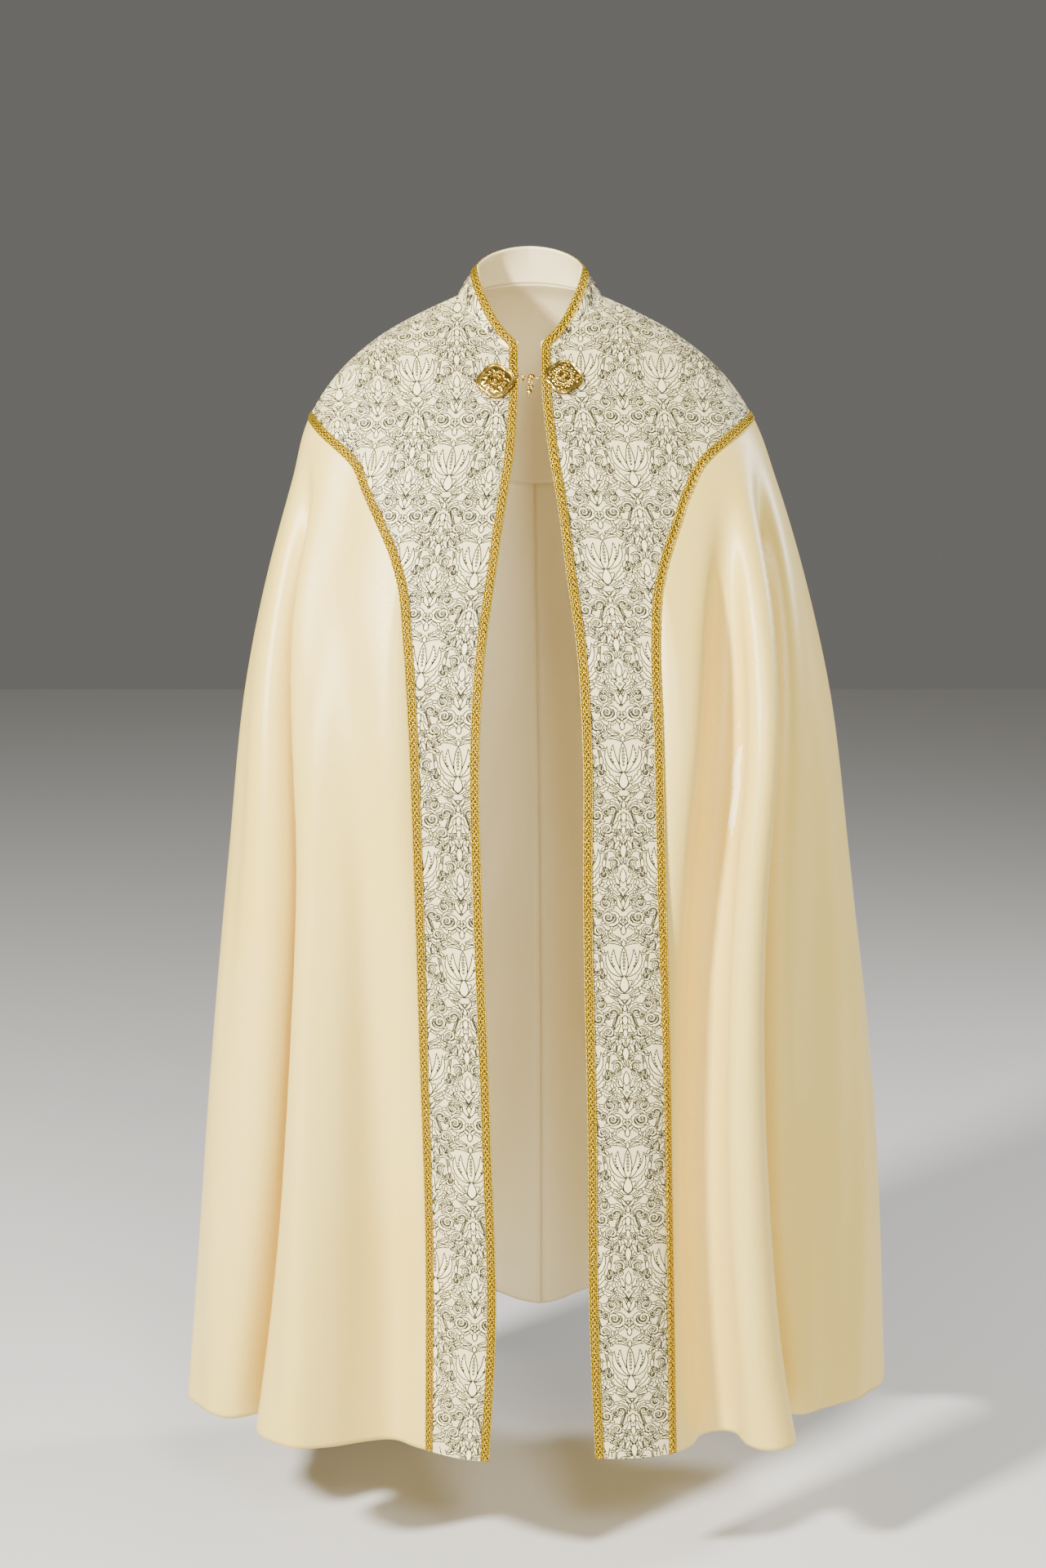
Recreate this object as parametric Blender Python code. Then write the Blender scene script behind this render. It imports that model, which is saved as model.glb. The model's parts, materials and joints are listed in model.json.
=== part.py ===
"""A cope in its worn form: a brocade yoke and orphrey bands, a cream silk body, gold braid and a clasp.

Metres, +Z up. The front faces -Y. The origin is the middle of the neck opening, level with the top of
the shoulders, where the cope is carried. "Right" and "left" are the wearer's: right is -X.
Every piece of cloth is cut from one form, which two numbers name on each side: "round", from 0 at the
front edge through 0.5 over the shoulder to 1 at the middle of the back, and "down", from 0 at the neck
to 1 at the hem.
"""

import math

import bmesh
import bpy
import numpy as np
from mathutils import Matrix, Vector

CLOTH = 0.0020
BRAID = 0.0018
GAP = 0.0003
EDGE_BRAID_WIDE = 0.0110
SEAM_BRAID_HALF = 0.0062
TIP = 0.165
BACK_YOKE_LOW = 0.232

SECTIONS = (
    # down, half_width, side_z, front_y, front_z, back_y, back_z, lean, square
    (0.000, 0.088, 0.000, -0.080, -0.070, 0.066, 0.016, 0.000, 2.0),
    (0.035, 0.132, -0.020, -0.100, -0.092, 0.092, -0.004, 0.000, 2.0),
    (0.075, 0.184, -0.049, -0.122, -0.132, 0.118, -0.040, 0.000, 2.1),
    (0.115, 0.231, -0.088, -0.143, -0.185, 0.137, -0.090, 0.001, 2.2),
    (0.165, 0.272, -0.145, -0.168, -0.250, 0.150, -0.155, 0.002, 2.3),
    (0.230, 0.299, -0.225, -0.198, -0.325, 0.160, -0.235, 0.006, 2.4),
    (0.310, 0.330, -0.330, -0.232, -0.412, 0.172, -0.335, 0.008, 2.5),
    (0.410, 0.361, -0.470, -0.252, -0.530, 0.186, -0.475, 0.010, 2.6),
    (0.550, 0.387, -0.680, -0.256, -0.712, 0.210, -0.685, 0.013, 2.6),
    (0.750, 0.419, -0.985, -0.262, -0.997, 0.252, -0.985, 0.016, 2.6),
    (1.000, 0.444, -1.370, -0.268, -1.388, 0.300, -1.370, 0.017, 2.6),
)
FRONT_EDGES = (
    # down, right, left: how far each front edge hangs from the middle
    (0.000, 0.0144, 0.0144),
    (0.075, 0.0146, 0.0160),
    (0.115, 0.0185, 0.0225),
    (0.165, 0.0285, 0.0335),
    (0.230, 0.0395, 0.0430),
    (0.310, 0.0515, 0.0550),
    (0.410, 0.0590, 0.0622),
    (0.550, 0.0560, 0.0630),
    (0.750, 0.0455, 0.0690),
    (0.900, 0.0400, 0.0720),
    (1.000, 0.0480, 0.0790),
)
YOKE_SEAM = (
    # height, right, left: how far out the yoke's outer edge runs, from the shoulder tip to the hem
    (-0.145, 0.2700, 0.2740),
    (-0.165, 0.2500, 0.2470),
    (-0.194, 0.2160, 0.2105),
    (-0.232, 0.1960, 0.1880),
    (-0.270, 0.1770, 0.1740),
    (-0.306, 0.1610, 0.1615),
    (-0.344, 0.1500, 0.1520),
    (-0.400, 0.1440, 0.1480),
    (-0.512, 0.1370, 0.1510),
    (-0.700, 0.1310, 0.1560),
    (-0.904, 0.1260, 0.1620),
    (-1.100, 0.1210, 0.1660),
    (-1.390, 0.1225, 0.1720),
)
FOLDS = (
    # side, angles at 0.23, 0.5 and 1 down (degrees from the front), wide, out, tuck, start, full
    (-1, 8, 6, 5, 0.060, 0.020, 0.000, 0.45, 1.00),
    (-1, 42, 29.5, 20.5, 0.060, -0.036, 0.000, 0.16, 1.00),
    (-1, 56, 41.0, 36.5, 0.064, 0.038, 0.000, 0.22, 0.90),
    (-1, 68, 54.0, 55.5, 0.040, -0.044, -0.032, 0.21, 0.60),
    (-1, 78, 64.0, 61.0, 0.082, 0.034, 0.000, 0.24, 1.00),
    (-1, 48, 46.0, 46.0, 0.070, -0.009, 0.000, 0.06, 0.18),
    (1, 8, 8, 8, 0.060, 0.012, 0.000, 0.45, 1.00),
    (1, 45, 27.5, 22.0, 0.036, -0.038, 0.008, 0.17, 0.50),
    (1, 55, 35.0, 33.5, 0.048, 0.030, 0.000, 0.15, 0.50),
    (1, 66, 46.5, 47.0, 0.038, -0.032, -0.022, 0.17, 0.52),
    (1, 80, 60.0, 58.0, 0.090, -0.040, 0.000, 0.22, 1.00),
    (-1, 112, 110, 109, 0.060, 0.030, 0.000, 0.28, 0.90),
    (-1, 126, 125, 125, 0.055, -0.038, 0.000, 0.24, 0.90),
    (-1, 142, 141, 141, 0.062, 0.040, 0.000, 0.22, 0.90),
    (-1, 157, 157, 156, 0.055, -0.036, 0.000, 0.26, 0.92),
    (-1, 169, 169, 169, 0.058, 0.036, 0.000, 0.24, 0.94),
    (-1, 180, 180, 180, 0.050, -0.034, 0.000, 0.25, 0.92),
    (1, 115, 115, 114, 0.064, 0.034, 0.000, 0.26, 0.90),
    (1, 130, 130, 131, 0.055, -0.040, 0.000, 0.25, 0.90),
    (1, 146, 146, 147, 0.058, 0.038, 0.000, 0.22, 0.90),
    (1, 159, 159, 160, 0.055, -0.034, 0.000, 0.27, 0.92),
    (1, 171, 171, 171, 0.058, 0.036, 0.000, 0.24, 0.94),
    (1, 180, 180, 180, 0.050, -0.034, 0.000, 0.25, 0.92),
)
FOLD_LEVELS = (0.23, 0.50, 1.00)
FOLDS_FROM = 0.10
FOLD_WIDTH_AT_NECK = 0.45
GUIDES = (1, 2, 3, 4, 7, 8, 9, 10, 11, 12, 13, 14, 15, 17, 18, 19, 20, 21)
COLLAR = (
    # angle from the front, height, how far the top leans in
    (9.0, 0.0120, 0.0020),
    (22.0, 0.0180, 0.0060),
    (48.0, 0.0300, 0.0150),
    (90.0, 0.0380, 0.0250),
    (135.0, 0.0440, 0.0220),
    (180.0, 0.0450, 0.0160),
)
COLLAR_LEAN_POWER = 1.3
COLLAR_BRAID = 0.92
CLASP_PLATES = (
    # side, round, down, half_size, turn (degrees), boss
    (-1, 0.0640, 0.0530, 0.0240, 6.0, 0.0074),
    (1, 0.0660, 0.0490, 0.0235, -8.0, 0.0060),
)
PLATE_RINGS = (
    # share of the way out, height
    (0.00, 0.0062),
    (0.16, 0.0056),
    (0.30, 0.0034),
    (0.46, 0.0040),
    (0.66, 0.0046),
    (0.84, 0.0036),
    (0.95, 0.0034),
    (1.00, 0.0016),
)
PLATE_SEGMENTS = 24
PLATE_CORNERS = 4
PLATE_LOBES = 0.11
BOSS_SHARE = 0.30
PLATE_RIPPLES = 12
RIPPLE_HIGH = 0.0005
RIPPLE_SHARES = (0.4, 0.9)
CLASP_LIFT = 0.0024
LINK_LIFT = 0.0022
RING_AT = -0.0110
RING_RADIUS = 0.0042
WIRE = 0.0010
HOOK = (
    # along the bar, radius
    (-0.0052, 0.0002),
    (-0.0050, 0.0014),
    (-0.0038, 0.0020),
    (-0.0024, 0.0012),
    (-0.0010, 0.0012),
    (0.0006, 0.0036),
    (0.0026, 0.0046),
    (0.0048, 0.0036),
    (0.0064, 0.0012),
    (0.0145, 0.0012),
    (0.0165, 0.0018),
    (0.0170, 0.0002),
)
DROP = (
    # below the bar, radius
    (0.0049, 0.0003),
    (0.0054, 0.0014),
    (0.0086, 0.0028),
    (0.0116, 0.0015),
    (0.0142, 0.0036),
    (0.0180, 0.0046),
    (0.0212, 0.0030),
    (0.0232, 0.0016),
    (0.0246, 0.0003),
)
TURNED_STEPS = 10
PENDANT_AT = 0.0026
PENDANT_SWING = 7.0
SHOULDER_ROWS = 6
SHOULDER_SEAM = 16
SEAM_SAMPLES = 97
BAND_ROWS = 14
BAND_TOP = -0.330
BAND_TOP_EDGE = 0.235
BAND_SPACING = 1.15
SEAM_ROWS = SHOULDER_SEAM + BAND_ROWS
YOKE_COLUMNS = 7
TOP_COLUMNS = 32
NECK_STEP = 2
COLLAR_STEP = 4
SHARP_FOLD = 0.050
SHARP_REACH = 0.05
CROWDING = 0.9
FOLLOW_OVER = 0.140

CREAM_CLOTH = (0.83, 0.68, 0.42, 1.0), 0.42, 0.0
BROCADE = (0.78, 0.76, 0.68, 1.0), 0.38, 0.1
GOLD_BRAID = (0.62, 0.42, 0.07, 1.0), 0.40, 0.5
GOLD_METAL = (0.80, 0.62, 0.22, 1.0), 0.22, 1.0

LEVELS = np.linspace(0.0, 1.0, 241)
ANGLES = np.linspace(0.0, math.pi, 361)
ROUNDS = np.linspace(0.0, 1.0, 361)


def along(rows, column, at):
    """A smooth curve through one column of a table, read at `at`, which the first column measures."""
    place = np.array([row[0] for row in rows], float)
    value = np.array([row[column] for row in rows], float)
    order = np.argsort(place)
    place, value = place[order], value[order]
    slope = np.gradient(value, place)
    at = np.clip(np.asarray(at, float), place[0], place[-1])
    i = np.clip(np.searchsorted(place, at, side="right") - 1, 0, len(place) - 2)
    step = place[i + 1] - place[i]
    s = (at - place[i]) / step
    start = (2 * s**3 - 3 * s**2 + 1) * value[i] + (s**3 - 2 * s**2 + s) * step * slope[i]
    return start + (3 * s**2 - 2 * s**3) * value[i + 1] + (s**3 - s**2) * step * slope[i + 1]


def smooth(share):
    share = np.clip(share, 0.0, 1.0)
    return share * share * (3.0 - 2.0 * share)


def unit(vectors):
    return vectors / np.maximum(np.linalg.norm(vectors, axis=-1, keepdims=True), 1e-12)


def ring(side, down, angle):
    """A point of the smooth form: an oval round the wearer, higher over the shoulders than in front."""
    half_width, side_z, front_y, front_z, back_y, back_z, lean, square = (
        along(SECTIONS, column, down) for column in range(1, 9)
    )
    out, ahead = np.sin(angle), np.cos(angle)
    power = 2.0 / square
    x = lean + side * half_width * np.abs(out) ** power
    y = np.where(ahead >= 0, front_y, back_y) * np.abs(ahead) ** power
    z = side_z + (np.where(ahead >= 0, front_z, back_z) - side_z) * ahead**2
    return np.stack(np.broadcast_arrays(x, y, z), -1)


def angle_of(side, down, x):
    """The angle at which the oval at this height is `x` from the middle, on its front half."""
    half_width, lean, square = (along(SECTIONS, column, down) for column in (1, 7, 8))
    share = np.clip((np.abs(x) - side * lean) / half_width, 0.0, 1.0)
    return np.arcsin(share ** (square / 2.0))


def measure(side):
    """Lengths along each oval, and the angle that stands at each place round it."""
    points = ring(side, LEVELS[:, None], ANGLES[None, :])
    steps = np.linalg.norm(np.diff(points, axis=1), axis=2)
    lengths = np.concatenate([np.zeros((len(LEVELS), 1)), np.cumsum(steps, axis=1)], axis=1)
    edge_angle = angle_of(side, LEVELS, along(FRONT_EDGES, 1 if side < 0 else 2, LEVELS))
    rows = range(len(LEVELS))
    edge = np.array([np.interp(edge_angle[i], ANGLES, lengths[i]) for i in rows])
    flank = np.array([np.interp(math.pi / 2, ANGLES, lengths[i]) for i in rows])
    end = lengths[:, -1]
    place = np.array([np.interp(ROUNDS, [0.0, 0.5, 1.0], [edge[i], flank[i], end[i]]) for i in rows])
    angle = np.array([np.interp(place[i], lengths[i], ANGLES) for i in rows])
    return {"lengths": lengths, "edge": edge, "flank": flank, "end": end, "angle": angle}


FORM = {side: measure(side) for side in (-1, 1)}


def angle_at(side, around, down):
    """The angle at a place round the form, from the measured table."""
    table = FORM[side]["angle"]
    i = np.clip((down * (len(LEVELS) - 1)).astype(int), 0, len(LEVELS) - 2)
    j = np.clip((around * (len(ROUNDS) - 1)).astype(int), 0, len(ROUNDS) - 2)
    a = down * (len(LEVELS) - 1) - i
    b = around * (len(ROUNDS) - 1) - j
    upper = table[i, j] * (1 - b) + table[i, j + 1] * b
    lower = table[i + 1, j] * (1 - b) + table[i + 1, j + 1] * b
    return upper * (1 - a) + lower * a


def base(side, around, down):
    return ring(side, down, angle_at(side, around, down))


def length_to(side, around, down):
    """The length along the oval from the middle of the front to a place round it."""
    edge, flank, end = (np.interp(down, LEVELS, FORM[side][key]) for key in ("edge", "flank", "end"))
    front = edge + 2.0 * around * (flank - edge)
    return np.where(around < 0.5, front, flank + (2.0 * around - 1.0) * (end - flank))


def fold_line(side, top, middle, hem):
    """The length from the middle of the front to a fold, at each of LEVELS."""
    t = np.clip(LEVELS, FOLDS_FROM, 1.0)
    a, b, c = FOLD_LEVELS
    angle = (
        top * (t - b) * (t - c) / ((a - b) * (a - c))
        + middle * (t - a) * (t - c) / ((b - a) * (b - c))
        + hem * (t - a) * (t - b) / ((c - a) * (c - b))
    )
    lengths = FORM[side]["lengths"]
    angle = np.radians(np.clip(angle, 0.0, 180.0))
    return np.array([np.interp(angle[i], ANGLES, lengths[i]) for i in range(len(LEVELS))])


FOLD_LINES = [fold_line(fold[0], *fold[1:4]) for fold in FOLDS]


def surface(side, around, down):
    """The outer face of the cloth: the smooth form, raised and tucked by each fold that crosses it."""
    around, down = np.broadcast_arrays(np.asarray(around, float), np.asarray(down, float))
    around, down = np.clip(around, 0.0, 1.0), np.clip(down, 0.0, 1.0)
    step = 1e-3
    low, high = np.clip(around - step, 0, 1), np.clip(around + step, 0, 1)
    along_round = unit(base(side, high, down) - base(side, low, down))
    low, high = np.clip(down - step, 0, 1), np.clip(down + step, 0, 1)
    along_down = base(side, around, high) - base(side, around, low)
    outward = side * unit(np.cross(along_down, along_round))
    here = length_to(side, around, down)
    out, tuck = np.zeros(here.shape), np.zeros(here.shape)
    for fold, line in zip(FOLDS, FOLD_LINES):
        fold_side, _, _, _, wide, height, shift, start, full = fold
        if fold_side != side:
            continue
        width = wide * (FOLD_WIDTH_AT_NECK + (1.0 - FOLD_WIDTH_AT_NECK) * down)
        bump = np.exp(-(((here - np.interp(down, LEVELS, line)) / width) ** 2))
        bump = bump * smooth((down - start) / (full - start))
        out = out + height * bump
        tuck = tuck + shift * bump
    return base(side, around, down) + outward * out[..., None] + along_round * tuck[..., None]


def frame_at(side, around, down):
    """How the cloth runs at a place: along the round, along the drop, and its outward normal."""
    step = 5e-4
    low, high = np.clip(around - step, 0, 1), np.clip(around + step, 0, 1)
    by_round = (surface(side, high, down) - surface(side, low, down)) / (high - low)[..., None]
    low, high = np.clip(down - step, 0, 1), np.clip(down + step, 0, 1)
    by_down = (surface(side, around, high) - surface(side, around, low)) / (high - low)[..., None]
    return by_round, by_down, side * unit(np.cross(by_down, by_round))


def beside(side, around, down, distance):
    """The path that keeps `distance` from a path on the cloth, on the side of greater round and down."""
    points = surface(side, around, down)
    ahead = unit(np.gradient(points, axis=0))
    by_round, by_down, normal = frame_at(side, around, down)
    across = side * unit(np.cross(ahead, normal)) * distance
    a, b, c = (by_round**2).sum(-1), (by_round * by_down).sum(-1), (by_down**2).sum(-1)
    p, q = (across * by_round).sum(-1), (across * by_down).sum(-1)
    scale = a * c - b * b
    return around + (c * p - b * q) / scale, down + (a * q - b * p) / scale


def seam_places(side, heights):
    """Places on the form of the yoke's outer edge in front, at these heights."""
    found = []
    levels = np.linspace(TIP / 2, 1.0, 8 * len(LEVELS))
    for height in heights:
        x = along(YOKE_SEAM, 1 if side < 0 else 2, height)
        z = ring(side, levels, angle_of(side, levels, x))[:, 2]
        at = float(np.interp(-height, -z, levels))
        row = round(at * (len(LEVELS) - 1))
        length = np.interp(float(angle_of(side, at, x)), ANGLES, FORM[side]["lengths"][row])
        edge, flank = (np.interp(at, LEVELS, FORM[side][key]) for key in ("edge", "flank"))
        found.append((0.5 * (length - edge) / (flank - edge), at))
    return np.array(found).T


def seam_path(side):
    """The yoke's outer edge in front, from the shoulder tip to the hem, as places on the form."""
    share = np.linspace(0.0, 1.0, SEAM_SAMPLES)
    around, down = seam_places(side, YOKE_SEAM[0][0] + (BAND_TOP - YOKE_SEAM[0][0]) * share**2)
    around[0], down[0] = 0.5, TIP
    steps = np.linalg.norm(np.diff(surface(side, around, down), axis=0), axis=1)
    run = np.concatenate([[0.0], np.cumsum(steps)])
    even = np.linspace(0.0, run[-1], SHOULDER_SEAM + 1)
    band = np.linspace(0.0, 1.0, BAND_ROWS + 1)[1:] ** BAND_SPACING
    band_round, band_down = seam_places(side, BAND_TOP + (YOKE_SEAM[-1][0] - BAND_TOP) * band)
    band_down[-1] = 1.0
    around = np.concatenate([np.interp(even, run, around), band_round])
    return around, np.concatenate([np.interp(even, run, down), band_down])


def back_path():
    """The back yoke's lower edge, from the shoulder tip to the middle of the back."""
    share = np.linspace(0.0, 1.0, TOP_COLUMNS + 1)
    return 0.5 + 0.5 * share, TIP + (BACK_YOKE_LOW - TIP) * np.sin(share * math.pi / 2) ** 2


def paths(side):
    """The seam round the yoke and the two edges of the braid on it, all from the tip."""
    front_round, front_down = seam_path(side)
    back_round, back_down = back_path()
    around = np.concatenate([front_round[::-1], back_round[1:]])
    down = np.concatenate([front_down[::-1], back_down[1:]])
    found = {"seam": (around, down)}
    for name, distance in (("yoke", -SEAM_BRAID_HALF), ("body", SEAM_BRAID_HALF)):
        u, v = beside(side, around, down, distance)
        u[SEAM_ROWS], v[0], u[-1] = 0.5, 1.0, 1.0
        found[name] = (np.clip(u, 0, 1), np.clip(v, 0, 1))
    return found


def material(name, finish):
    colour, roughness, metallic = finish
    made = bpy.data.materials.new(name)
    made.use_nodes = True
    shader = made.node_tree.nodes["Principled BSDF"]
    shader.inputs["Base Color"].default_value = colour
    shader.inputs["Roughness"].default_value = roughness
    shader.inputs["Metallic"].default_value = metallic
    return made


def place(name, mesh, finish, collection):
    """A named object of this mesh, with its own material, in the garment's collection."""
    mesh.materials.append(material(name, finish))
    made = bpy.data.objects.new(name, mesh)
    collection.objects.link(made)
    return made


def strip_quads(first, second):
    """The quads between two rows of as many point numbers."""
    return [(first[i], first[i + 1], second[i + 1], second[i]) for i in range(len(first) - 1)]


def edge_loop(quads):
    """The edges that only one quad has, each with the way it runs in that quad."""
    seen = {}
    for quad in quads:
        for a, b in zip(quad, quad[1:] + quad[:1]):
            key = (min(a, b), max(a, b))
            seen[key] = None if key in seen else (a, b)
    return [edge for edge in seen.values() if edge]


def drawn_in(points, normals, quads, amount):
    """The points, with those on the border moved into the cloth, so that pieces stay apart at a seam."""
    moved = points.copy()
    after = {a: b for a, b in edge_loop(quads)}
    before = {b: a for a, b in edge_loop(quads)}
    centre = {}
    for quad in quads:
        for corner in quad:
            centre.setdefault(corner, []).append(points[list(quad)].mean(axis=0))
    for corner in after:
        inward = []
        for one, two in ((before[corner], corner), (corner, after[corner])):
            across = unit(np.cross(normals[corner], points[two] - points[one]))
            towards = np.mean(centre[corner], axis=0) - points[corner]
            inward.append(across if across @ towards > 0 else -across)
        a, b = inward
        moved[corner] = points[corner] + amount * (a + b) / max(1.0 + a @ b, 0.35)
    return moved


def halved(points, quads):
    """Each quad as two triangles, cut along its shorter diagonal, so that layers over it are cut alike."""
    triangles = []
    for a, b, c, d in quads:
        if np.linalg.norm(points[a] - points[c]) <= np.linalg.norm(points[b] - points[d]):
            triangles += [(a, b, c), (a, c, d)]
        else:
            triangles += [(a, b, d), (b, c, d)]
    return triangles


def wall(name, outer, inner, triangles, quads, finish, collection):
    """A closed wall between an outer and an inner face of the same triangles, rimmed along their border."""
    count = len(outer)
    faces = list(triangles)
    faces += [tuple(corner + count for corner in reversed(face)) for face in triangles]
    faces += [(b, a, a + count, b + count) for a, b in edge_loop(quads)]
    mesh = bpy.data.meshes.new(name)
    mesh.from_pydata(np.concatenate([outer, inner]).tolist(), [], faces)
    shell = bmesh.new()
    shell.from_mesh(mesh)
    bmesh.ops.recalc_face_normals(shell, faces=shell.faces)
    shell.to_mesh(mesh)
    shell.free()
    return place(name, mesh, finish, collection)


def cloth(name, side_points, quads, finish, collection):
    """A piece of cloth whose outer face is on the form; its inner face lies one thickness inside."""
    points, normals = side_points
    outer = drawn_in(points, normals, quads, GAP / 2)
    return wall(name, outer, outer - normals * CLOTH, halved(points, quads), quads, finish, collection)


def braid(name, side_points, quads, collection):
    """A flat braid that lies on the cloth under it, made from that cloth's points, moved out."""
    points, normals = side_points
    under = drawn_in(points, normals, quads, GAP / 2) + normals * GAP
    triangles = halved(points, quads)
    return wall(name, under + normals * BRAID, under, triangles, quads, GOLD_BRAID, collection)


def on_form(side, around, down):
    around, down = np.clip(around, 0, 1), np.clip(down, 0, 1)
    return surface(side, around, down), frame_at(side, around, down)[2]


def inset(side, down):
    """How far round the form the edge braid reaches from the front edge."""
    edge, flank = (np.interp(down, LEVELS, FORM[side][key]) for key in ("edge", "flank"))
    return 0.5 * EDGE_BRAID_WIDE / (flank - edge)


def band_row(side, edge_down, end_round, end_down):
    """Places along one row of the band: the front edge, the braid's inner edge and on to the row's end."""
    first = inset(side, edge_down)
    around = np.concatenate([[0.0], np.linspace(first, end_round, YOKE_COLUMNS)])
    down = np.concatenate([[edge_down], np.linspace(edge_down, end_down, YOKE_COLUMNS)])
    return around, down


def front_yoke(side, edges):
    """The places and quads of a front yoke with its band, and its points along the front edge, by row."""
    end_round, end_down = (path[: SEAM_ROWS + 1][::-1] for path in edges["yoke"])
    seam_round, seam_down = (path[: SEAM_ROWS + 1][::-1] for path in edges["seam"])
    corner_round, corner_down = end_round[SHOULDER_SEAM], end_down[SHOULDER_SEAM]
    low_round, low_down = band_row(side, BAND_TOP_EDGE, corner_round, corner_down)
    low_round = np.concatenate([low_round, end_round[:SHOULDER_SEAM][::-1]])
    low_down = np.concatenate([low_down, end_down[:SHOULDER_SEAM][::-1]])
    top_round = np.concatenate([[0.0], np.linspace(inset(side, 0.0), 0.5, len(low_round) - 1)])
    share = np.linspace(0.0, 1.0, SHOULDER_ROWS + 1)[:, None]
    around = top_round + (low_round - top_round) * share
    down = low_down * share
    around[:, 1] = inset(side, down[:, 1])
    chest = np.arange(around.size).reshape(around.shape)
    places_round, places_down = [around.ravel()], [down.ravel()]
    for row in range(SHOULDER_SEAM + 1, SEAM_ROWS + 1):
        part_down = (end_down[row] - corner_down) / (1.0 - corner_down)
        edge_down = BAND_TOP_EDGE + (1.0 - BAND_TOP_EDGE) * part_down
        row_round, row_down = band_row(side, edge_down, end_round[row], end_down[row])
        places_round.append(row_round)
        places_down.append(row_down)
    band = chest.size + np.arange(BAND_ROWS * (YOKE_COLUMNS + 1)).reshape(BAND_ROWS, YOKE_COLUMNS + 1)
    seam = chest.size + band.size + np.arange(len(seam_round))
    quads = []
    for upper, lower in zip(chest[:-1].tolist(), chest[1:].tolist()):
        quads += strip_quads(upper, lower)
    for upper, lower in zip([chest[-1, : YOKE_COLUMNS + 1].tolist()] + band[:-1].tolist(), band.tolist()):
        quads += strip_quads(upper, lower)
    border = chest[-1, : YOKE_COLUMNS - 1 : -1].tolist() + band[:, -1].tolist()
    quads += strip_quads(seam.tolist(), border)
    places = np.concatenate(places_round + [seam_round]), np.concatenate(places_down + [seam_down])
    return places, quads, np.concatenate([chest[:, :2], band[:, :2]]), chest[0]


def followed(side, hem_round, down, left_round, left_down):
    """Places round the form for columns that keep to the folds, so that no fold is cut across."""
    guides = [n for n in GUIDES if FOLDS[n][0] == side]
    lines = [place_of(side, FOLD_LINES[n]) for n in guides]
    found = np.zeros(down.shape)
    for row, column in np.ndindex(down.shape):
        at = down[row, column]
        here = [float(np.interp(at, left_down, left_round))]
        here += [float(np.interp(at, LEVELS, line)) for line in lines] + [1.0]
        at_hem = [hem_round[0]] + [line[-1] for line in lines] + [1.0]
        found[row, column] = np.interp(hem_round[column], at_hem, np.maximum.accumulate(here))
    return found


def hem_columns(side, first, count):
    """Places along the hem for this many columns, which stand closer together where the folds are sharp."""
    at = np.linspace(first, 1.0, len(ROUNDS))
    crowd = np.ones(len(at))
    for fold, line in zip(FOLDS, FOLD_LINES):
        if fold[0] == side and fold[4] < SHARP_FOLD:
            crowd += CROWDING * np.exp(-(((at - place_of(side, line)[-1]) / SHARP_REACH) ** 2))
    total = np.concatenate([[0.0], np.cumsum((crowd[1:] + crowd[:-1]) / 2)])
    return np.interp(np.linspace(0.0, total[-1], count), total, at)


def place_of(side, lengths):
    """Places round the form of a line that is given by its lengths at LEVELS."""
    form = FORM[side]
    front = 0.5 * (lengths - form["edge"]) / (form["flank"] - form["edge"])
    back = 0.5 + 0.5 * (lengths - form["flank"]) / (form["end"] - form["flank"])
    return np.where(lengths < form["flank"], front, back)


def body_grid(side, edges):
    """Places and quads of one half of the body, from the yoke's seam to the middle of the back."""
    body_round, body_down = edges["body"]
    left_round, left_down = body_round[: BAND_ROWS + 1][::-1], body_down[: BAND_ROWS + 1][::-1]
    top_round, top_down = body_round[BAND_ROWS:], body_down[BAND_ROWS:]
    hem_round = hem_columns(side, left_round[-1], len(top_round))
    share = ((left_down - left_down[0]) / (1.0 - left_down[0]))[:, None]
    around = top_round + (hem_round - top_round) * share
    down = top_down + (1.0 - top_down) * share
    seam_down = np.maximum.accumulate(body_down[: SEAM_ROWS + 1][::-1])
    guided = followed(side, hem_round, down, body_round[: SEAM_ROWS + 1][::-1], seam_down)
    around = around + (guided - around) * smooth((down - top_down) / FOLLOW_OVER)
    around[:, 0] = left_round
    numbers = np.arange(around.size).reshape(around.shape).tolist()
    quads = []
    for upper, lower in zip(numbers[:-1], numbers[1:]):
        quads += strip_quads(upper, lower)
    border = [row[0] for row in numbers[::-1]] + numbers[0][1:]
    seam_round, seam_down = edges["seam"]
    seam = [around.size + n for n in range(len(seam_round))]
    quads += strip_quads(seam, border)
    places = np.concatenate([around.ravel(), seam_round]), np.concatenate([down.ravel(), seam_down])
    return places, quads


def back_yoke_grid(edges):
    """Places of one half of the back yoke: rows from the neck to its lower edge."""
    yoke_round, yoke_down = (path[SEAM_ROWS:] for path in edges["yoke"])
    seam_round, seam_down = (path[SEAM_ROWS:] for path in edges["seam"])
    share = np.linspace(0.0, 1.0, SHOULDER_ROWS + 1)[:, None]
    top = back_path()[0]
    around = top[None, :] + (yoke_round - top)[None, :] * share
    down = yoke_down[None, :] * share
    return np.vstack([around, seam_round]), np.vstack([down, seam_down])


def straightened(points, step):
    """A row of points whose every `step`th stays, with the others on straight lines between them."""
    kept = np.arange(0, len(points), step)
    numbers = np.arange(len(points))
    return np.stack([np.interp(numbers, kept, points[kept, axis]) for axis in range(3)], -1)


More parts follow.
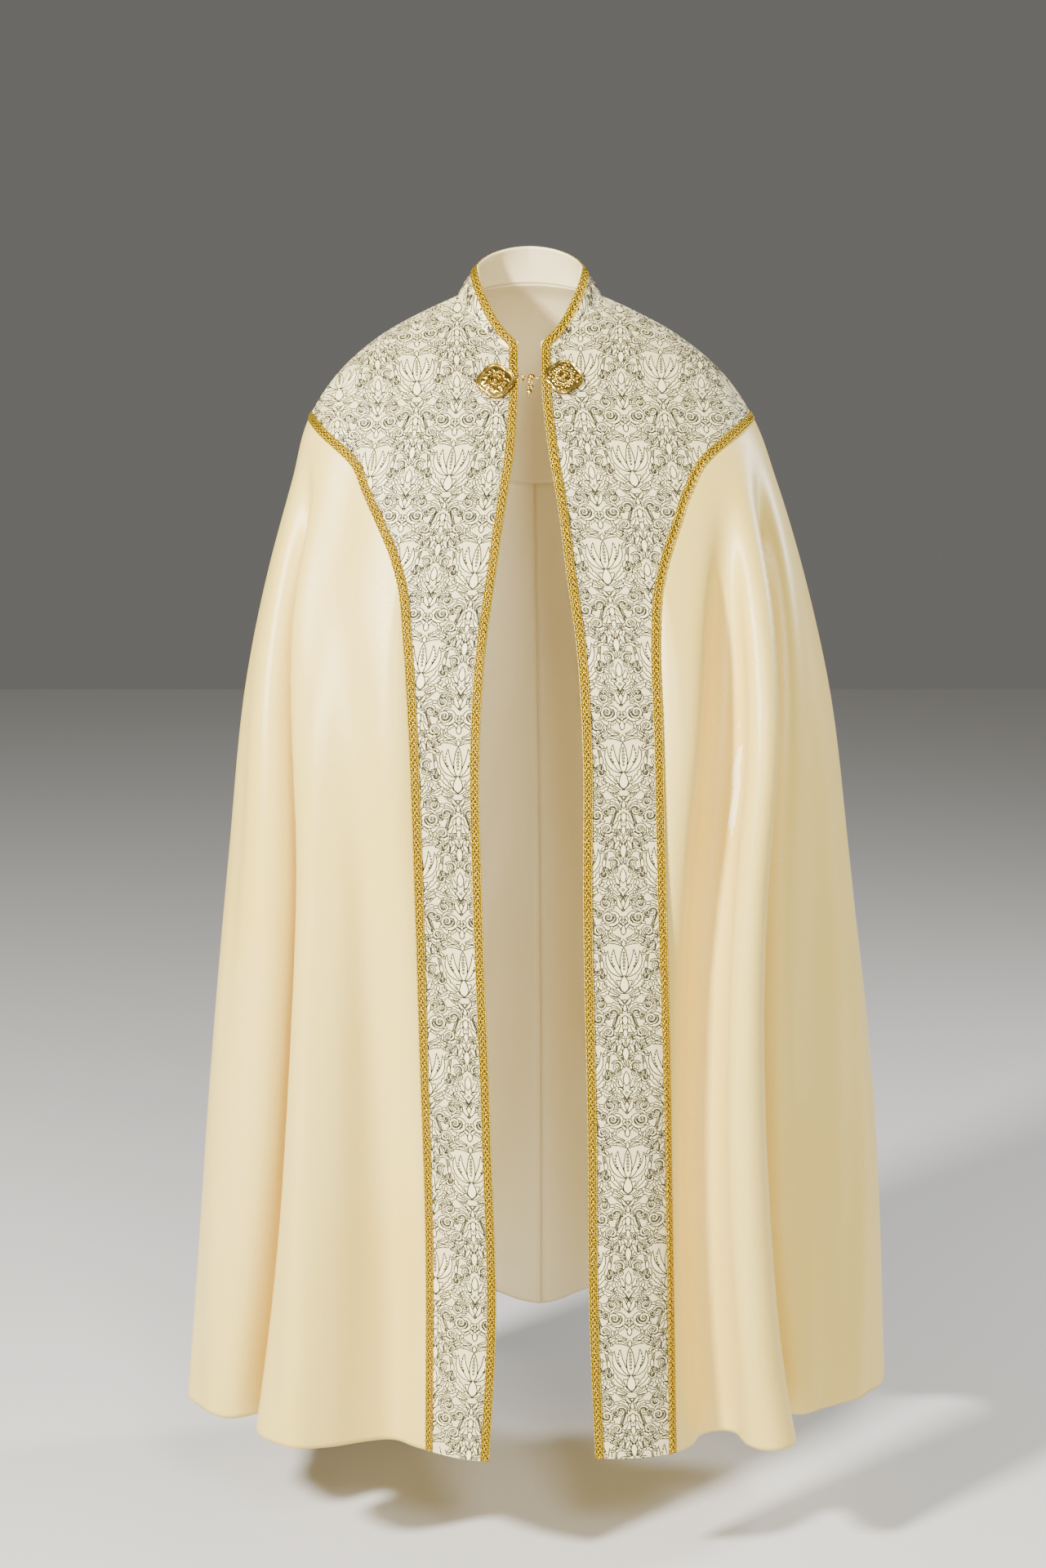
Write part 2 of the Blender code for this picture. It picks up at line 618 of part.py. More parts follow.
def back_yoke(edges, collection):
    """The back yoke in one piece, from shoulder to shoulder."""
    points, normals = [], []
    for side in (-1, 1):
        around, down = back_yoke_grid(edges[side])
        side_points, side_normals = on_form(side, around, down)
        side_points[0] = straightened(side_points[0], COLLAR_STEP)
        points.append(side_points)
        normals.append(side_normals)
    whole = np.concatenate([points[0], points[1][:, -2::-1]], axis=1)
    outward = np.concatenate([normals[0], normals[1][:, -2::-1]], axis=1)
    rows, columns = whole.shape[:2]
    numbers = np.arange(rows * columns).reshape(rows, columns).tolist()
    quads = []
    for upper, lower in zip(numbers[:-1], numbers[1:]):
        quads += strip_quads(upper, lower)
    cloth("yoke_back", (whole.reshape(-1, 3), outward.reshape(-1, 3)), quads, BROCADE, collection)


def collar_half(side, columns_round):
    """Rows of points of half the collar, from its seam to its top edge, and their normals."""
    foot = surface(side, columns_round, np.zeros(len(columns_round)))
    angle = np.degrees(angle_at(side, columns_round, np.zeros(len(columns_round))))
    height = along(COLLAR, 1, angle)
    lean = along(COLLAR, 2, angle)
    outward = unit(foot * (1.0, 1.0, 0.0))
    braid_share = EDGE_BRAID_WIDE * COLLAR_BRAID / height
    rows = []
    for share in (0.0 * height, 0.5 * (1 - braid_share), 1 - braid_share, 1.0 + 0.0 * height):
        up = (height * share)[:, None] * np.array((0.0, 0.0, 1.0))
        back = (lean * share**COLLAR_LEAN_POWER)[:, None] * outward
        rows.append(foot + up - back)
    points = np.array(rows)
    by_round = np.gradient(points, axis=1)
    by_up = np.gradient(points, axis=0)
    return points, side * unit(np.cross(by_round, by_up))


def collar(yoke_columns, collection):
    """The stand collar, and the rows of its points that the edge braid lies on, for each side."""
    halves = {}
    for side in (-1, 1):
        back = back_path()[0][::COLLAR_STEP]
        halves[side] = collar_half(side, np.concatenate([yoke_columns[side], back[1:]]))
    points = np.concatenate([halves[-1][0], halves[1][0][:, -2::-1]], axis=1)
    normals = np.concatenate([halves[-1][1], halves[1][1][:, -2::-1]], axis=1)
    middle = len(halves[-1][0][0]) - 1
    for half in halves.values():
        half[1][:, -1] = unit(half[1][:, -1] * (0.0, 1.0, 1.0))
    normals[:, middle] = halves[-1][1][:, -1]
    rows, columns = points.shape[:2]
    numbers = np.arange(rows * columns).reshape(rows, columns).tolist()
    quads = []
    for lower, upper in zip(numbers[:-1], numbers[1:]):
        quads += strip_quads(lower, upper)
    cloth("collar", (points.reshape(-1, 3), normals.reshape(-1, 3)), quads, BROCADE, collection)
    return halves


def edge_braid(side, front_edge, half, collection):
    """The braid up a front edge, round the collar's corner and along half of the collar's top."""
    points, normals = (values[::-1] for values in front_edge)
    collar_points, collar_normals = half
    up = np.concatenate([points, collar_points[2:, :2]])
    up_normals = np.concatenate([normals, collar_normals[2:, :2]])
    count = len(up)
    outer, inner = list(range(0, 2 * count, 2)), list(range(1, 2 * count, 2))
    beyond = len(collar_points[0]) - 2
    top = [inner[-1]] + [2 * count + n for n in range(beyond)]
    low = [inner[-2]] + [2 * count + beyond + n for n in range(beyond)]
    quads = strip_quads(outer, inner) + strip_quads(top, low)
    every = np.concatenate([up.reshape(-1, 3), collar_points[3, 2:], collar_points[2, 2:]])
    outward = np.concatenate([up_normals.reshape(-1, 3), collar_normals[3, 2:], collar_normals[2, 2:]])
    braid("braid_edge_" + NAMES[side], (every, outward), quads, collection)


def seam_braid(side, edges, collection):
    """The braid over the seam round the yoke, from the hem over the shoulder to the middle of the back."""
    rows = [on_form(side, *edges[name]) for name in ("yoke", "seam", "body")]
    points = np.concatenate([row[0] for row in rows])
    normals = np.concatenate([row[1] for row in rows])
    count = len(edges["seam"][0])
    numbers = np.arange(3 * count).reshape(3, count).tolist()
    quads = strip_quads(numbers[0], numbers[1]) + strip_quads(numbers[1], numbers[2])
    braid("braid_yoke_" + NAMES[side], (points, normals), quads, collection)


def plate_mesh(half_size, boss):
    """A clasp plate: a flat back, four rounded corners and a chased front with a boss in the middle."""
    shell = bmesh.new()
    first, last = RIPPLE_SHARES
    top = []
    for share, height in PLATE_RINGS[1:]:
        row = []
        for n in range(PLATE_SEGMENTS):
            angle = 2 * math.pi * n / PLATE_SEGMENTS
            lobes = 1.0 - PLATE_LOBES * (0.5 - 0.5 * math.cos(PLATE_CORNERS * angle)) * share
            reach = half_size * share * lobes if share > BOSS_SHARE else boss * share / BOSS_SHARE
            ripple = RIPPLE_HIGH * math.cos(PLATE_RIPPLES * angle) if first < share < last else 0.0
            row.append(shell.verts.new((reach * math.cos(angle), reach * math.sin(angle), height + ripple)))
        top.append(row)
    back = [shell.verts.new((corner.co.x, corner.co.y, 0.0)) for corner in top[-1]]
    peak = shell.verts.new((0.0, 0.0, PLATE_RINGS[0][1]))
    for n in range(PLATE_SEGMENTS):
        after = (n + 1) % PLATE_SEGMENTS
        shell.faces.new((peak, top[0][n], top[0][after]))
        for inner, outer in zip(top[:-1] + [top[-1]], top[1:] + [back]):
            shell.faces.new((inner[n], outer[n], outer[after], inner[after]))
    shell.faces.new(back)
    bmesh.ops.recalc_face_normals(shell, faces=shell.faces)
    mesh = bpy.data.meshes.new("plate")
    shell.to_mesh(mesh)
    shell.free()
    return mesh


def clasp_frame(point, normal, turn=0.0):
    """A matrix at a point of the chest, with its Z outwards and its X to the wearer's left."""
    out = Vector(normal).normalized()
    across = Vector((1.0, 0.0, 0.0))
    across = (across - out * across.dot(out)).normalized()
    up = out.cross(across)
    turned = Matrix((across, up, out)).transposed().to_4x4() @ Matrix.Rotation(math.radians(turn), 4, "Z")
    turned.translation = Vector(point)
    return turned


def turned_piece(name, profile, axis, collection):
    """A piece turned about the X axis, or about -Y where `axis` is "drop", from rows of place and radius."""
    shell = bmesh.new()
    corners = [shell.verts.new((radius, 0.0, -at)) for at, radius in profile]
    edges = [shell.edges.new(pair) for pair in zip(corners[:-1], corners[1:])]
    bmesh.ops.spin(
        shell,
        geom=corners + edges,
        cent=(0, 0, 0),
        axis=(0, 0, 1),
        angle=2 * math.pi,
        steps=TURNED_STEPS,
        use_merge=True,
    )
    bmesh.ops.remove_doubles(shell, verts=shell.verts, dist=1e-5)
    bmesh.ops.holes_fill(shell, edges=shell.edges, sides=12)
    bmesh.ops.recalc_face_normals(shell, faces=shell.faces)
    shell.transform(Matrix.Rotation(math.radians(-90), 4, "Y" if axis == "bar" else "X"))
    mesh = bpy.data.meshes.new(name)
    shell.to_mesh(mesh)
    shell.free()
    return place(name, mesh, GOLD_METAL, collection)


def clasp(collection):
    """The fastened clasp: a plate on each front edge, and between them a ring, a hook bar and a pendant."""
    frames = {}
    for side, around, down, half_size, turn, boss in CLASP_PLATES:
        point, normal = on_form(side, np.array([around]), np.array([down]))
        frames[side] = clasp_frame(point[0] + normal[0] * CLASP_LIFT, normal[0], turn)
        plate = place("clasp_plate_" + NAMES[side], plate_mesh(half_size, boss), GOLD_METAL, collection)
        plate.matrix_world = frames[side]
    middle = (frames[-1].translation + frames[1].translation) / 2
    outward = frames[-1].to_3x3().col[2] + frames[1].to_3x3().col[2]
    centre = clasp_frame((0.0, middle.y, middle.z), outward)
    centre.translation = centre.translation + outward.normalized() * LINK_LIFT
    bpy.ops.mesh.primitive_torus_add(
        major_radius=RING_RADIUS, minor_radius=WIRE, major_segments=18, minor_segments=6
    )
    ring_mesh = bpy.context.object.data
    bpy.data.objects.remove(bpy.context.object)
    ring_piece = place("clasp_ring", ring_mesh, GOLD_METAL, collection)
    ring_piece.matrix_world = centre @ Matrix.Translation((RING_AT, 0.0, 0.0))
    hook = turned_piece("clasp_hook", HOOK, "bar", collection)
    hook.matrix_world = centre
    drop = turned_piece("clasp_pendant", DROP, "drop", collection)
    swing = Matrix.Rotation(math.radians(-PENDANT_SWING), 4, "Z")
    drop.matrix_world = centre @ Matrix.Translation((PENDANT_AT, 0.0, 0.0)) @ swing


NAMES = {-1: "right", 1: "left"}


def clear_scene():
    for old in list(bpy.data.objects):
        bpy.data.objects.remove(old, do_unlink=True)


def main():
    clear_scene()
    collection = bpy.data.collections.new("cope")
    bpy.context.scene.collection.children.link(collection)
    edges = {side: paths(side) for side in (-1, 1)}
    neck_round, front_edges = {}, {}
    for side in (-1, 1):
        places, quads, front_edge, neck = front_yoke(side, edges[side])
        points, normals = on_form(side, *places)
        points[neck[1:]] = straightened(points[neck[1:]], NECK_STEP)
        cloth("yoke_front_" + NAMES[side], (points, normals), quads, BROCADE, collection)
        neck_round[side] = places[0][np.concatenate([neck[:1], neck[1::NECK_STEP]])]
        front_edges[side] = points[front_edge], normals[front_edge]
        places, quads = body_grid(side, edges[side])
        cloth("body_" + NAMES[side], on_form(side, *places), quads, CREAM_CLOTH, collection)
    back_yoke(edges, collection)
    halves = collar(neck_round, collection)
    for side in (-1, 1):
        edge_braid(side, front_edges[side], halves[side], collection)
        seam_braid(side, edges[side], collection)
    clasp(collection)


main()
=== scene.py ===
# A floor-length cope in its worn form: a brocade yoke and front bands, a cream satin body,
# gold braid and a fastened chest clasp. Metres, +Z up, the front faces -Y. The origin is the
# middle of the neck opening. "Right" and "left" are as the cope is worn: right is -X, side -1.
import json
import math

import bmesh
import bpy
import numpy as np
from mathutils import Matrix, Vector

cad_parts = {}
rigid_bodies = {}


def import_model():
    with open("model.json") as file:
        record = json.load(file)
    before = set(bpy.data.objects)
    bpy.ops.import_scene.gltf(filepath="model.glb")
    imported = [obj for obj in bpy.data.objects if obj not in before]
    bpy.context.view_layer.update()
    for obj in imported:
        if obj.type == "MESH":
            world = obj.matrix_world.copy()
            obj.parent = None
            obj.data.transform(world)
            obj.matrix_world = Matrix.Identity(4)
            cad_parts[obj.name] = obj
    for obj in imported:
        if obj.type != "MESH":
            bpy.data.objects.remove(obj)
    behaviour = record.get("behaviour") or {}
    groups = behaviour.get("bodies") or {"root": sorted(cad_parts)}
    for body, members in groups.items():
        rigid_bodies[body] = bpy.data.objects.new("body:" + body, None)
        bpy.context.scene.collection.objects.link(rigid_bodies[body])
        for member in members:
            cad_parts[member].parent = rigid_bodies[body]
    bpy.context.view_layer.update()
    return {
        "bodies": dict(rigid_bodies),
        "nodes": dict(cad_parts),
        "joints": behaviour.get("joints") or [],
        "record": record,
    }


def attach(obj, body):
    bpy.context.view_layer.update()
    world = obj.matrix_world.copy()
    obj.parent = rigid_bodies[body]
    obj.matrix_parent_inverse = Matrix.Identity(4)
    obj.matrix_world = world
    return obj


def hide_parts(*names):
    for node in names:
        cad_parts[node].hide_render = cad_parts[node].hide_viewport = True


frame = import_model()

scene = bpy.context.scene

# Every piece of cloth is cut from one form. Two numbers name a place on each side of it:
# "around", from 0 at the front edge through 0.5 over the shoulder to 1 at the middle of the
# back, and "down", from 0 at the neck to 1 at the hem.
copeForm = {
    "tipDown": 0.165,
    "backYokeLow": 0.232,
    "bandTop": -0.330,
    "bandTopEdge": 0.235,
    "clothThick": 0.0016,
    "sections": (
        # down, half width, side z, front y, front z, back y, back z, lean, square
        (0.000, 0.088, 0.000, -0.080, -0.070, 0.066, 0.016, 0.000, 2.0),
        (0.035, 0.132, -0.020, -0.100, -0.092, 0.092, -0.004, 0.000, 2.0),
        (0.075, 0.184, -0.049, -0.122, -0.132, 0.118, -0.040, 0.000, 2.1),
        (0.115, 0.231, -0.088, -0.143, -0.185, 0.137, -0.090, 0.001, 2.2),
        (0.165, 0.272, -0.145, -0.168, -0.250, 0.150, -0.155, 0.002, 2.3),
        (0.230, 0.299, -0.225, -0.198, -0.325, 0.160, -0.235, 0.006, 2.4),
        (0.310, 0.330, -0.330, -0.232, -0.412, 0.172, -0.335, 0.008, 2.5),
        (0.410, 0.361, -0.470, -0.252, -0.530, 0.186, -0.475, 0.010, 2.6),
        (0.550, 0.387, -0.680, -0.256, -0.712, 0.210, -0.685, 0.013, 2.6),
        (0.750, 0.419, -0.985, -0.262, -0.997, 0.252, -0.985, 0.016, 2.6),
        (1.000, 0.444, -1.370, -0.268, -1.388, 0.300, -1.370, 0.017, 2.6),
    ),
    "frontEdges": (
        # down, right, left: how far each front edge hangs from the middle
        (0.000, 0.0144, 0.0144),
        (0.075, 0.0146, 0.0160),
        (0.115, 0.0185, 0.0225),
        (0.165, 0.0285, 0.0335),
        (0.230, 0.0395, 0.0430),
        (0.310, 0.0515, 0.0550),
        (0.410, 0.0590, 0.0622),
        (0.550, 0.0560, 0.0630),
        (0.750, 0.0455, 0.0690),
        (0.900, 0.0400, 0.0720),
        (1.000, 0.0480, 0.0790),
    ),
    "yokeSeam": (
        # height, right, left: how far out the yoke's outer edge runs
        (-0.145, 0.2700, 0.2740),
        (-0.165, 0.2500, 0.2470),
        (-0.194, 0.2160, 0.2105),
        (-0.232, 0.1960, 0.1880),
        (-0.270, 0.1770, 0.1740),
        (-0.306, 0.1610, 0.1615),
        (-0.344, 0.1500, 0.1520),
        (-0.400, 0.1440, 0.1480),
        (-0.512, 0.1370, 0.1510),
        (-0.700, 0.1310, 0.1560),
        (-0.904, 0.1260, 0.1620),
        (-1.100, 0.1210, 0.1660),
        (-1.390, 0.1225, 0.1720),
    ),
    "folds": (
        # side, angles at 0.23, 0.5 and 1 down, wide, out, tuck, start, full
        (-1, 8, 6, 5, 0.060, 0.020, 0.000, 0.45, 1.00),
        (-1, 42, 29.5, 20.5, 0.060, -0.036, 0.000, 0.16, 1.00),
        (-1, 56, 41.0, 36.5, 0.064, 0.038, 0.000, 0.22, 0.90),
        (-1, 68, 54.0, 55.5, 0.040, -0.044, -0.032, 0.21, 0.60),
        (-1, 78, 64.0, 61.0, 0.082, 0.034, 0.000, 0.24, 1.00),
        (-1, 48, 46.0, 46.0, 0.070, -0.009, 0.000, 0.06, 0.18),
        (1, 8, 8, 8, 0.060, 0.012, 0.000, 0.45, 1.00),
        (1, 45, 27.5, 22.0, 0.036, -0.038, 0.008, 0.17, 0.50),
        (1, 55, 35.0, 33.5, 0.048, 0.030, 0.000, 0.15, 0.50),
        (1, 66, 46.5, 47.0, 0.038, -0.032, -0.022, 0.17, 0.52),
        (1, 80, 60.0, 58.0, 0.090, -0.040, 0.000, 0.22, 1.00),
        (-1, 112, 110, 109, 0.060, 0.030, 0.000, 0.28, 0.90),
        (-1, 126, 125, 125, 0.055, -0.038, 0.000, 0.24, 0.90),
        (-1, 142, 141, 141, 0.062, 0.040, 0.000, 0.22, 0.90),
        (-1, 157, 157, 156, 0.055, -0.036, 0.000, 0.26, 0.92),
        (-1, 169, 169, 169, 0.058, 0.036, 0.000, 0.24, 0.94),
        (-1, 180, 180, 180, 0.050, -0.034, 0.000, 0.25, 0.92),
        (1, 115, 115, 114, 0.064, 0.034, 0.000, 0.26, 0.90),
        (1, 130, 130, 131, 0.055, -0.040, 0.000, 0.25, 0.90),
        (1, 146, 146, 147, 0.058, 0.038, 0.000, 0.22, 0.90),
        (1, 159, 159, 160, 0.055, -0.034, 0.000, 0.27, 0.92),
        (1, 171, 171, 171, 0.058, 0.036, 0.000, 0.24, 0.94),
        (1, 180, 180, 180, 0.050, -0.034, 0.000, 0.25, 0.92),
    ),
    "foldAngles": (0.23, 0.5, 1.0),
}
sideNames = {-1: "right", 1: "left"}
levels = np.linspace(0.0, 1.0, 241)
angles = np.linspace(0.0, math.pi, 361)
rounds = np.linspace(0.0, 1.0, 361)


def curveThrough(rows, column, at):
    # a smooth curve through one column of a table, read at `at`, which the first column measures
    spot = np.array([row[0] for row in rows], float)
    value = np.array([row[column] for row in rows], float)
    order = np.argsort(spot)
    spot, value = spot[order], value[order]
    slope = np.gradient(value, spot)
    at = np.clip(np.asarray(at, float), spot[0], spot[-1])
    i = np.clip(np.searchsorted(spot, at, side="right") - 1, 0, len(spot) - 2)
    step = spot[i + 1] - spot[i]
    s = (at - spot[i]) / step
    start = (2 * s**3 - 3 * s**2 + 1) * value[i] + (s**3 - 2 * s**2 + s) * step * slope[i]
    return start + (3 * s**2 - 2 * s**3) * value[i + 1] + (s**3 - s**2) * step * slope[i + 1]


def eased(share):
    share = np.clip(share, 0.0, 1.0)
    return share * share * (3.0 - 2.0 * share)


def unitOf(vectors):
    return vectors / np.maximum(np.linalg.norm(vectors, axis=-1, keepdims=True), 1e-12)


def runAlong(points):
    # the length along a line of points, from its start to each of them
    return np.concatenate([[0.0], np.cumsum(np.linalg.norm(np.diff(points, axis=0), axis=1))])


def ovalPoint(side, down, angle):
    columns = (curveThrough(copeForm["sections"], n, down) for n in range(1, 9))
    halfWidth, sideZ, frontY, frontZ, backY, backZ, lean, square = columns
    out, ahead = np.sin(angle), np.cos(angle)
    power = 2.0 / square
    x = lean + side * halfWidth * np.abs(out) ** power
    y = np.where(ahead >= 0, frontY, backY) * np.abs(ahead) ** power
    z = sideZ + (np.where(ahead >= 0, frontZ, backZ) - sideZ) * ahead**2
    return np.stack(np.broadcast_arrays(x, y, z), -1)


def angleOfX(side, down, x):
    # the angle at which the oval at this height is `x` from the middle, on its front half
    halfWidth, lean, square = (curveThrough(copeForm["sections"], n, down) for n in (1, 7, 8))
    share = np.clip((np.abs(x) - side * lean) / halfWidth, 0.0, 1.0)
    return np.arcsin(share ** (square / 2.0))


def frontEdgeX(side, down):
    return curveThrough(copeForm["frontEdges"], 1 if side < 0 else 2, down)


def measuredForm(side):
    # how long each level of the form is, round from the middle of the front, and what angle each
    # share of the way round lies at
    points = ovalPoint(side, levels[:, None], angles[None, :])
    steps = np.linalg.norm(np.diff(points, axis=1), axis=2)
    lengths = np.concatenate([np.zeros((len(levels), 1)), np.cumsum(steps, axis=1)], axis=1)
    edgeAngle = angleOfX(side, levels, frontEdgeX(side, levels))
    rows = range(len(levels))
    edge = np.array([np.interp(edgeAngle[i], angles, lengths[i]) for i in rows])
    flank = np.array([np.interp(math.pi / 2, angles, lengths[i]) for i in rows])
    end = lengths[:, -1]
    spot = np.array([np.interp(rounds, [0.0, 0.5, 1.0], [edge[i], flank[i], end[i]]) for i in rows])
    angle = np.array([np.interp(spot[i], lengths[i], angles) for i in rows])
    return {"lengths": lengths, "edge": edge, "flank": flank, "end": end, "angle": angle}


measured = {side: measuredForm(side) for side in (-1, 1)}


def angleAt(side, around, down):
    table = measured[side]["angle"]
    i = np.clip((down * (len(levels) - 1)).astype(int), 0, len(levels) - 2)
    j = np.clip((around * (len(rounds) - 1)).astype(int), 0, len(rounds) - 2)
    a = down * (len(levels) - 1) - i
    b = around * (len(rounds) - 1) - j
    upper = table[i, j] * (1 - b) + table[i, j + 1] * b
    lower = table[i + 1, j] * (1 - b) + table[i + 1, j + 1] * b
    return upper * (1 - a) + lower * a


def smoothPoint(side, around, down):
    return ovalPoint(side, down, angleAt(side, around, down))


def formLengths(side, down):
    return (np.interp(down, levels, measured[side][key]) for key in ("edge", "flank", "end"))


def lengthTo(side, around, down):
    # how far a place is from the middle of the front, round its level of the form
    edge, flank, end = formLengths(side, down)
    front = edge + 2.0 * around * (flank - edge)
    return np.where(around < 0.5, front, flank + (2.0 * around - 1.0) * (end - flank))


def foldLine(side, top, middle, hem):
    # the length from the middle of the front to a fold, at each of the levels
    t = np.clip(levels, 0.1, 1.0)
    a, b, c = copeForm["foldAngles"]
    angle = (
        top * (t - b) * (t - c) / ((a - b) * (a - c))
        + middle * (t - a) * (t - c) / ((b - a) * (b - c))
        + hem * (t - a) * (t - b) / ((c - a) * (c - b))
    )
    lengths = measured[side]["lengths"]
    angle = np.radians(np.clip(angle, 0.0, 180.0))
    return np.array([np.interp(angle[i], angles, lengths[i]) for i in range(len(levels))])


foldLines = [foldLine(fold[0], *fold[1:4]) for fold in copeForm["folds"]]


def clothPoint(side, around, down):
    # the outer face of the cloth: the smooth form, raised and tucked by each fold that crosses it
    around, down = np.broadcast_arrays(np.asarray(around, float), np.asarray(down, float))
    around, down = np.clip(around, 0.0, 1.0), np.clip(down, 0.0, 1.0)
    step = 1e-3
    low, high = np.clip(around - step, 0, 1), np.clip(around + step, 0, 1)
    alongRound = unitOf(smoothPoint(side, high, down) - smoothPoint(side, low, down))
    low, high = np.clip(down - step, 0, 1), np.clip(down + step, 0, 1)
    alongDown = smoothPoint(side, around, high) - smoothPoint(side, around, low)
    outward = side * unitOf(np.cross(alongDown, alongRound))
    here = lengthTo(side, around, down)
    out, tuck = np.zeros(here.shape), np.zeros(here.shape)
    for fold, line in zip(copeForm["folds"], foldLines):
        foldSide, _, _, _, wide, height, shift, start, full = fold
        if foldSide != side:
            continue
        width = wide * (0.45 + 0.55 * down)
        bump = np.exp(-(((here - np.interp(down, levels, line)) / width) ** 2))
        bump = bump * eased((down - start) / (full - start))
        out = out + height * bump
        tuck = tuck + shift * bump
    return smoothPoint(side, around, down) + outward * out[..., None] + alongRound * tuck[..., None]


def clothFrame(side, around, down):
    # how the cloth runs at a place: along the round, along the drop, and its outward normal
    step = 5e-4
    low, high = np.clip(around - step, 0, 1), np.clip(around + step, 0, 1)
    byRound = (clothPoint(side, high, down) - clothPoint(side, low, down)) / (high - low)[..., None]
    low, high = np.clip(down - step, 0, 1), np.clip(down + step, 0, 1)
    byDown = (clothPoint(side, around, high) - clothPoint(side, around, low)) / (high - low)[..., None]
    return byRound, byDown, side * unitOf(np.cross(byDown, byRound))


def onCloth(side, around, down, lift=0.0):
    around, down = np.clip(around, 0, 1), np.clip(down, 0, 1)
    normal = clothFrame(side, around, down)[2]
    return clothPoint(side, around, down) + normal * lift, normal


def placesAlongSeam(side, heights):
    # places of the yoke's outer edge in front, at these heights
    found = []
    fine = np.linspace(copeForm["tipDown"] / 2, 1.0, 8 * len(levels))
    for height in heights:
        x = curveThrough(copeForm["yokeSeam"], 1 if side < 0 else 2, height)
        z = ovalPoint(side, fine, angleOfX(side, fine, x))[:, 2]
        at = float(np.interp(-height, -z, fine))
        row = round(at * (len(levels) - 1))
        length = np.interp(float(angleOfX(side, at, x)), angles, measured[side]["lengths"][row])
        edge, flank, _ = formLengths(side, at)
        found.append((0.5 * (length - edge) / (flank - edge), at))
    return np.array(found).T


def seamPath(side, shoulderSteps, bandSteps):
    # the yoke's outer edge in front, from the shoulder tip to the hem
    top, low = copeForm["yokeSeam"][0][0], copeForm["yokeSeam"][-1][0]
    share = np.linspace(0.0, 1.0, 97)
    around, down = placesAlongSeam(side, top + (copeForm["bandTop"] - top) * share**2)
    around[0], down[0] = 0.5, copeForm["tipDown"]
    run = runAlong(clothPoint(side, around, down))
    even = np.linspace(0.0, run[-1], shoulderSteps + 1)
    band = np.linspace(0.0, 1.0, bandSteps + 1)[1:]
    heights = copeForm["bandTop"] + (low - copeForm["bandTop"]) * band
    bandAround, bandDown = placesAlongSeam(side, heights)
    bandDown[-1] = 1.0
    around = np.concatenate([np.interp(even, run, around), bandAround])
    return around, np.concatenate([np.interp(even, run, down), bandDown])


def backPath(columns):
    # the back yoke's lower edge, from the shoulder tip to the middle of the back
    share = np.linspace(0.0, 1.0, columns + 1)
    drop = (copeForm["backYokeLow"] - copeForm["tipDown"]) * np.sin(share * math.pi / 2) ** 2
    return 0.5 + 0.5 * share, copeForm["tipDown"] + drop


def fillInputs(tree, node, inputs):
    # inputs are given by name or number, as values or as sockets
    for key, value in inputs.items():
        if isinstance(value, bpy.types.NodeSocket):
            tree.links.new(value, node.inputs[key])
        else:
            node.inputs[key].default_value = value


def newMaterial(name):
    made = bpy.data.materials.new(name)
    made.use_nodes = True
    return made, made.node_tree


def finished(made, inputs):
    # sets the shader of a material: its colour, gloss, sheen and relief
    fillInputs(made.node_tree, made.node_tree.nodes["Principled BSDF"], inputs)
    return made


def addNode(tree, kind, inputs=None, **settings):
    node = tree.nodes.new(kind)
    for key, value in settings.items():
        setattr(node, key, value)
    fillInputs(tree, node, inputs or {})
    return node


def compute(tree, operation, *values):
    return addNode(tree, "ShaderNodeMath", dict(enumerate(values)), operation=operation).outputs[0]


def product(tree, first, second):
    return compute(tree, "MULTIPLY", first, second)


def total(tree, first, second):
    return compute(tree, "ADD", first, second)


def vectorSum(tree, operation, *values):
    names = (0, "Scale") if operation == "SCALE" else (0, 1)
    inputs = dict(zip(names, values))
    return addNode(tree, "ShaderNodeVectorMath", inputs, operation=operation).outputs[0]


def mixedColour(tree, share, first, second):
    node = addNode(tree, "ShaderNodeMix", {"Factor": share}, data_type="RGBA")
    for socket, value in zip([s for s in node.inputs if s.type == "RGBA"], (first, second)):
        if isinstance(value, bpy.types.NodeSocket):
            tree.links.new(value, socket)
        else:
            socket.default_value = value
    return next(s for s in node.outputs if s.type == "RGBA")


def fromTo(tree, value, low, high, newLow=0.0, newHigh=1.0):
    inputs = {"Value": value, "From Min": low, "From Max": high, "To Min": newLow, "To Max": newHigh}
    return addNode(tree, "ShaderNodeMapRange", inputs, interpolation_type="SMOOTHSTEP").outputs[0]


def meshPiece(name, points, faces, material, normalsOut=False, smoothAngle=None, uv=None):
    mesh = bpy.data.meshes.new(name)
    mesh.from_pydata(np.asarray(points, float).tolist(), [], faces)
    if normalsOut:
        shell = bmesh.new()
        shell.from_mesh(mesh)
        bmesh.ops.recalc_face_normals(shell, faces=shell.faces)
        shell.to_mesh(mesh)
        shell.free()
    mesh.polygons.foreach_set("use_smooth", [True] * len(mesh.polygons))
    if smoothAngle is not None:
        mesh.set_sharp_from_angle(angle=math.radians(smoothAngle))
    if uv is not None:
        layer = mesh.uv_layers.new(name="cloth")
        corner = np.empty(len(mesh.loops), np.int32)
        mesh.loops.foreach_get("vertex_index", corner)
        layer.data.foreach_set("uv", np.asarray(uv, np.float32)[corner].ravel())
    mesh.materials.append(material)
    made = bpy.data.objects.new(name, mesh)
    scene.collection.objects.link(made)
    return made


def gridFaces(rows, columns, flip=False):
    numbers = np.arange(rows * columns).reshape(rows, columns)
    a, b = numbers[:-1, :-1], numbers[:-1, 1:]
    c, d = numbers[1:, 1:], numbers[1:, :-1]
    quads = np.stack([a, d, c, b] if flip else [a, b, c, d], -1)
    return quads.reshape(-1, 4).tolist()


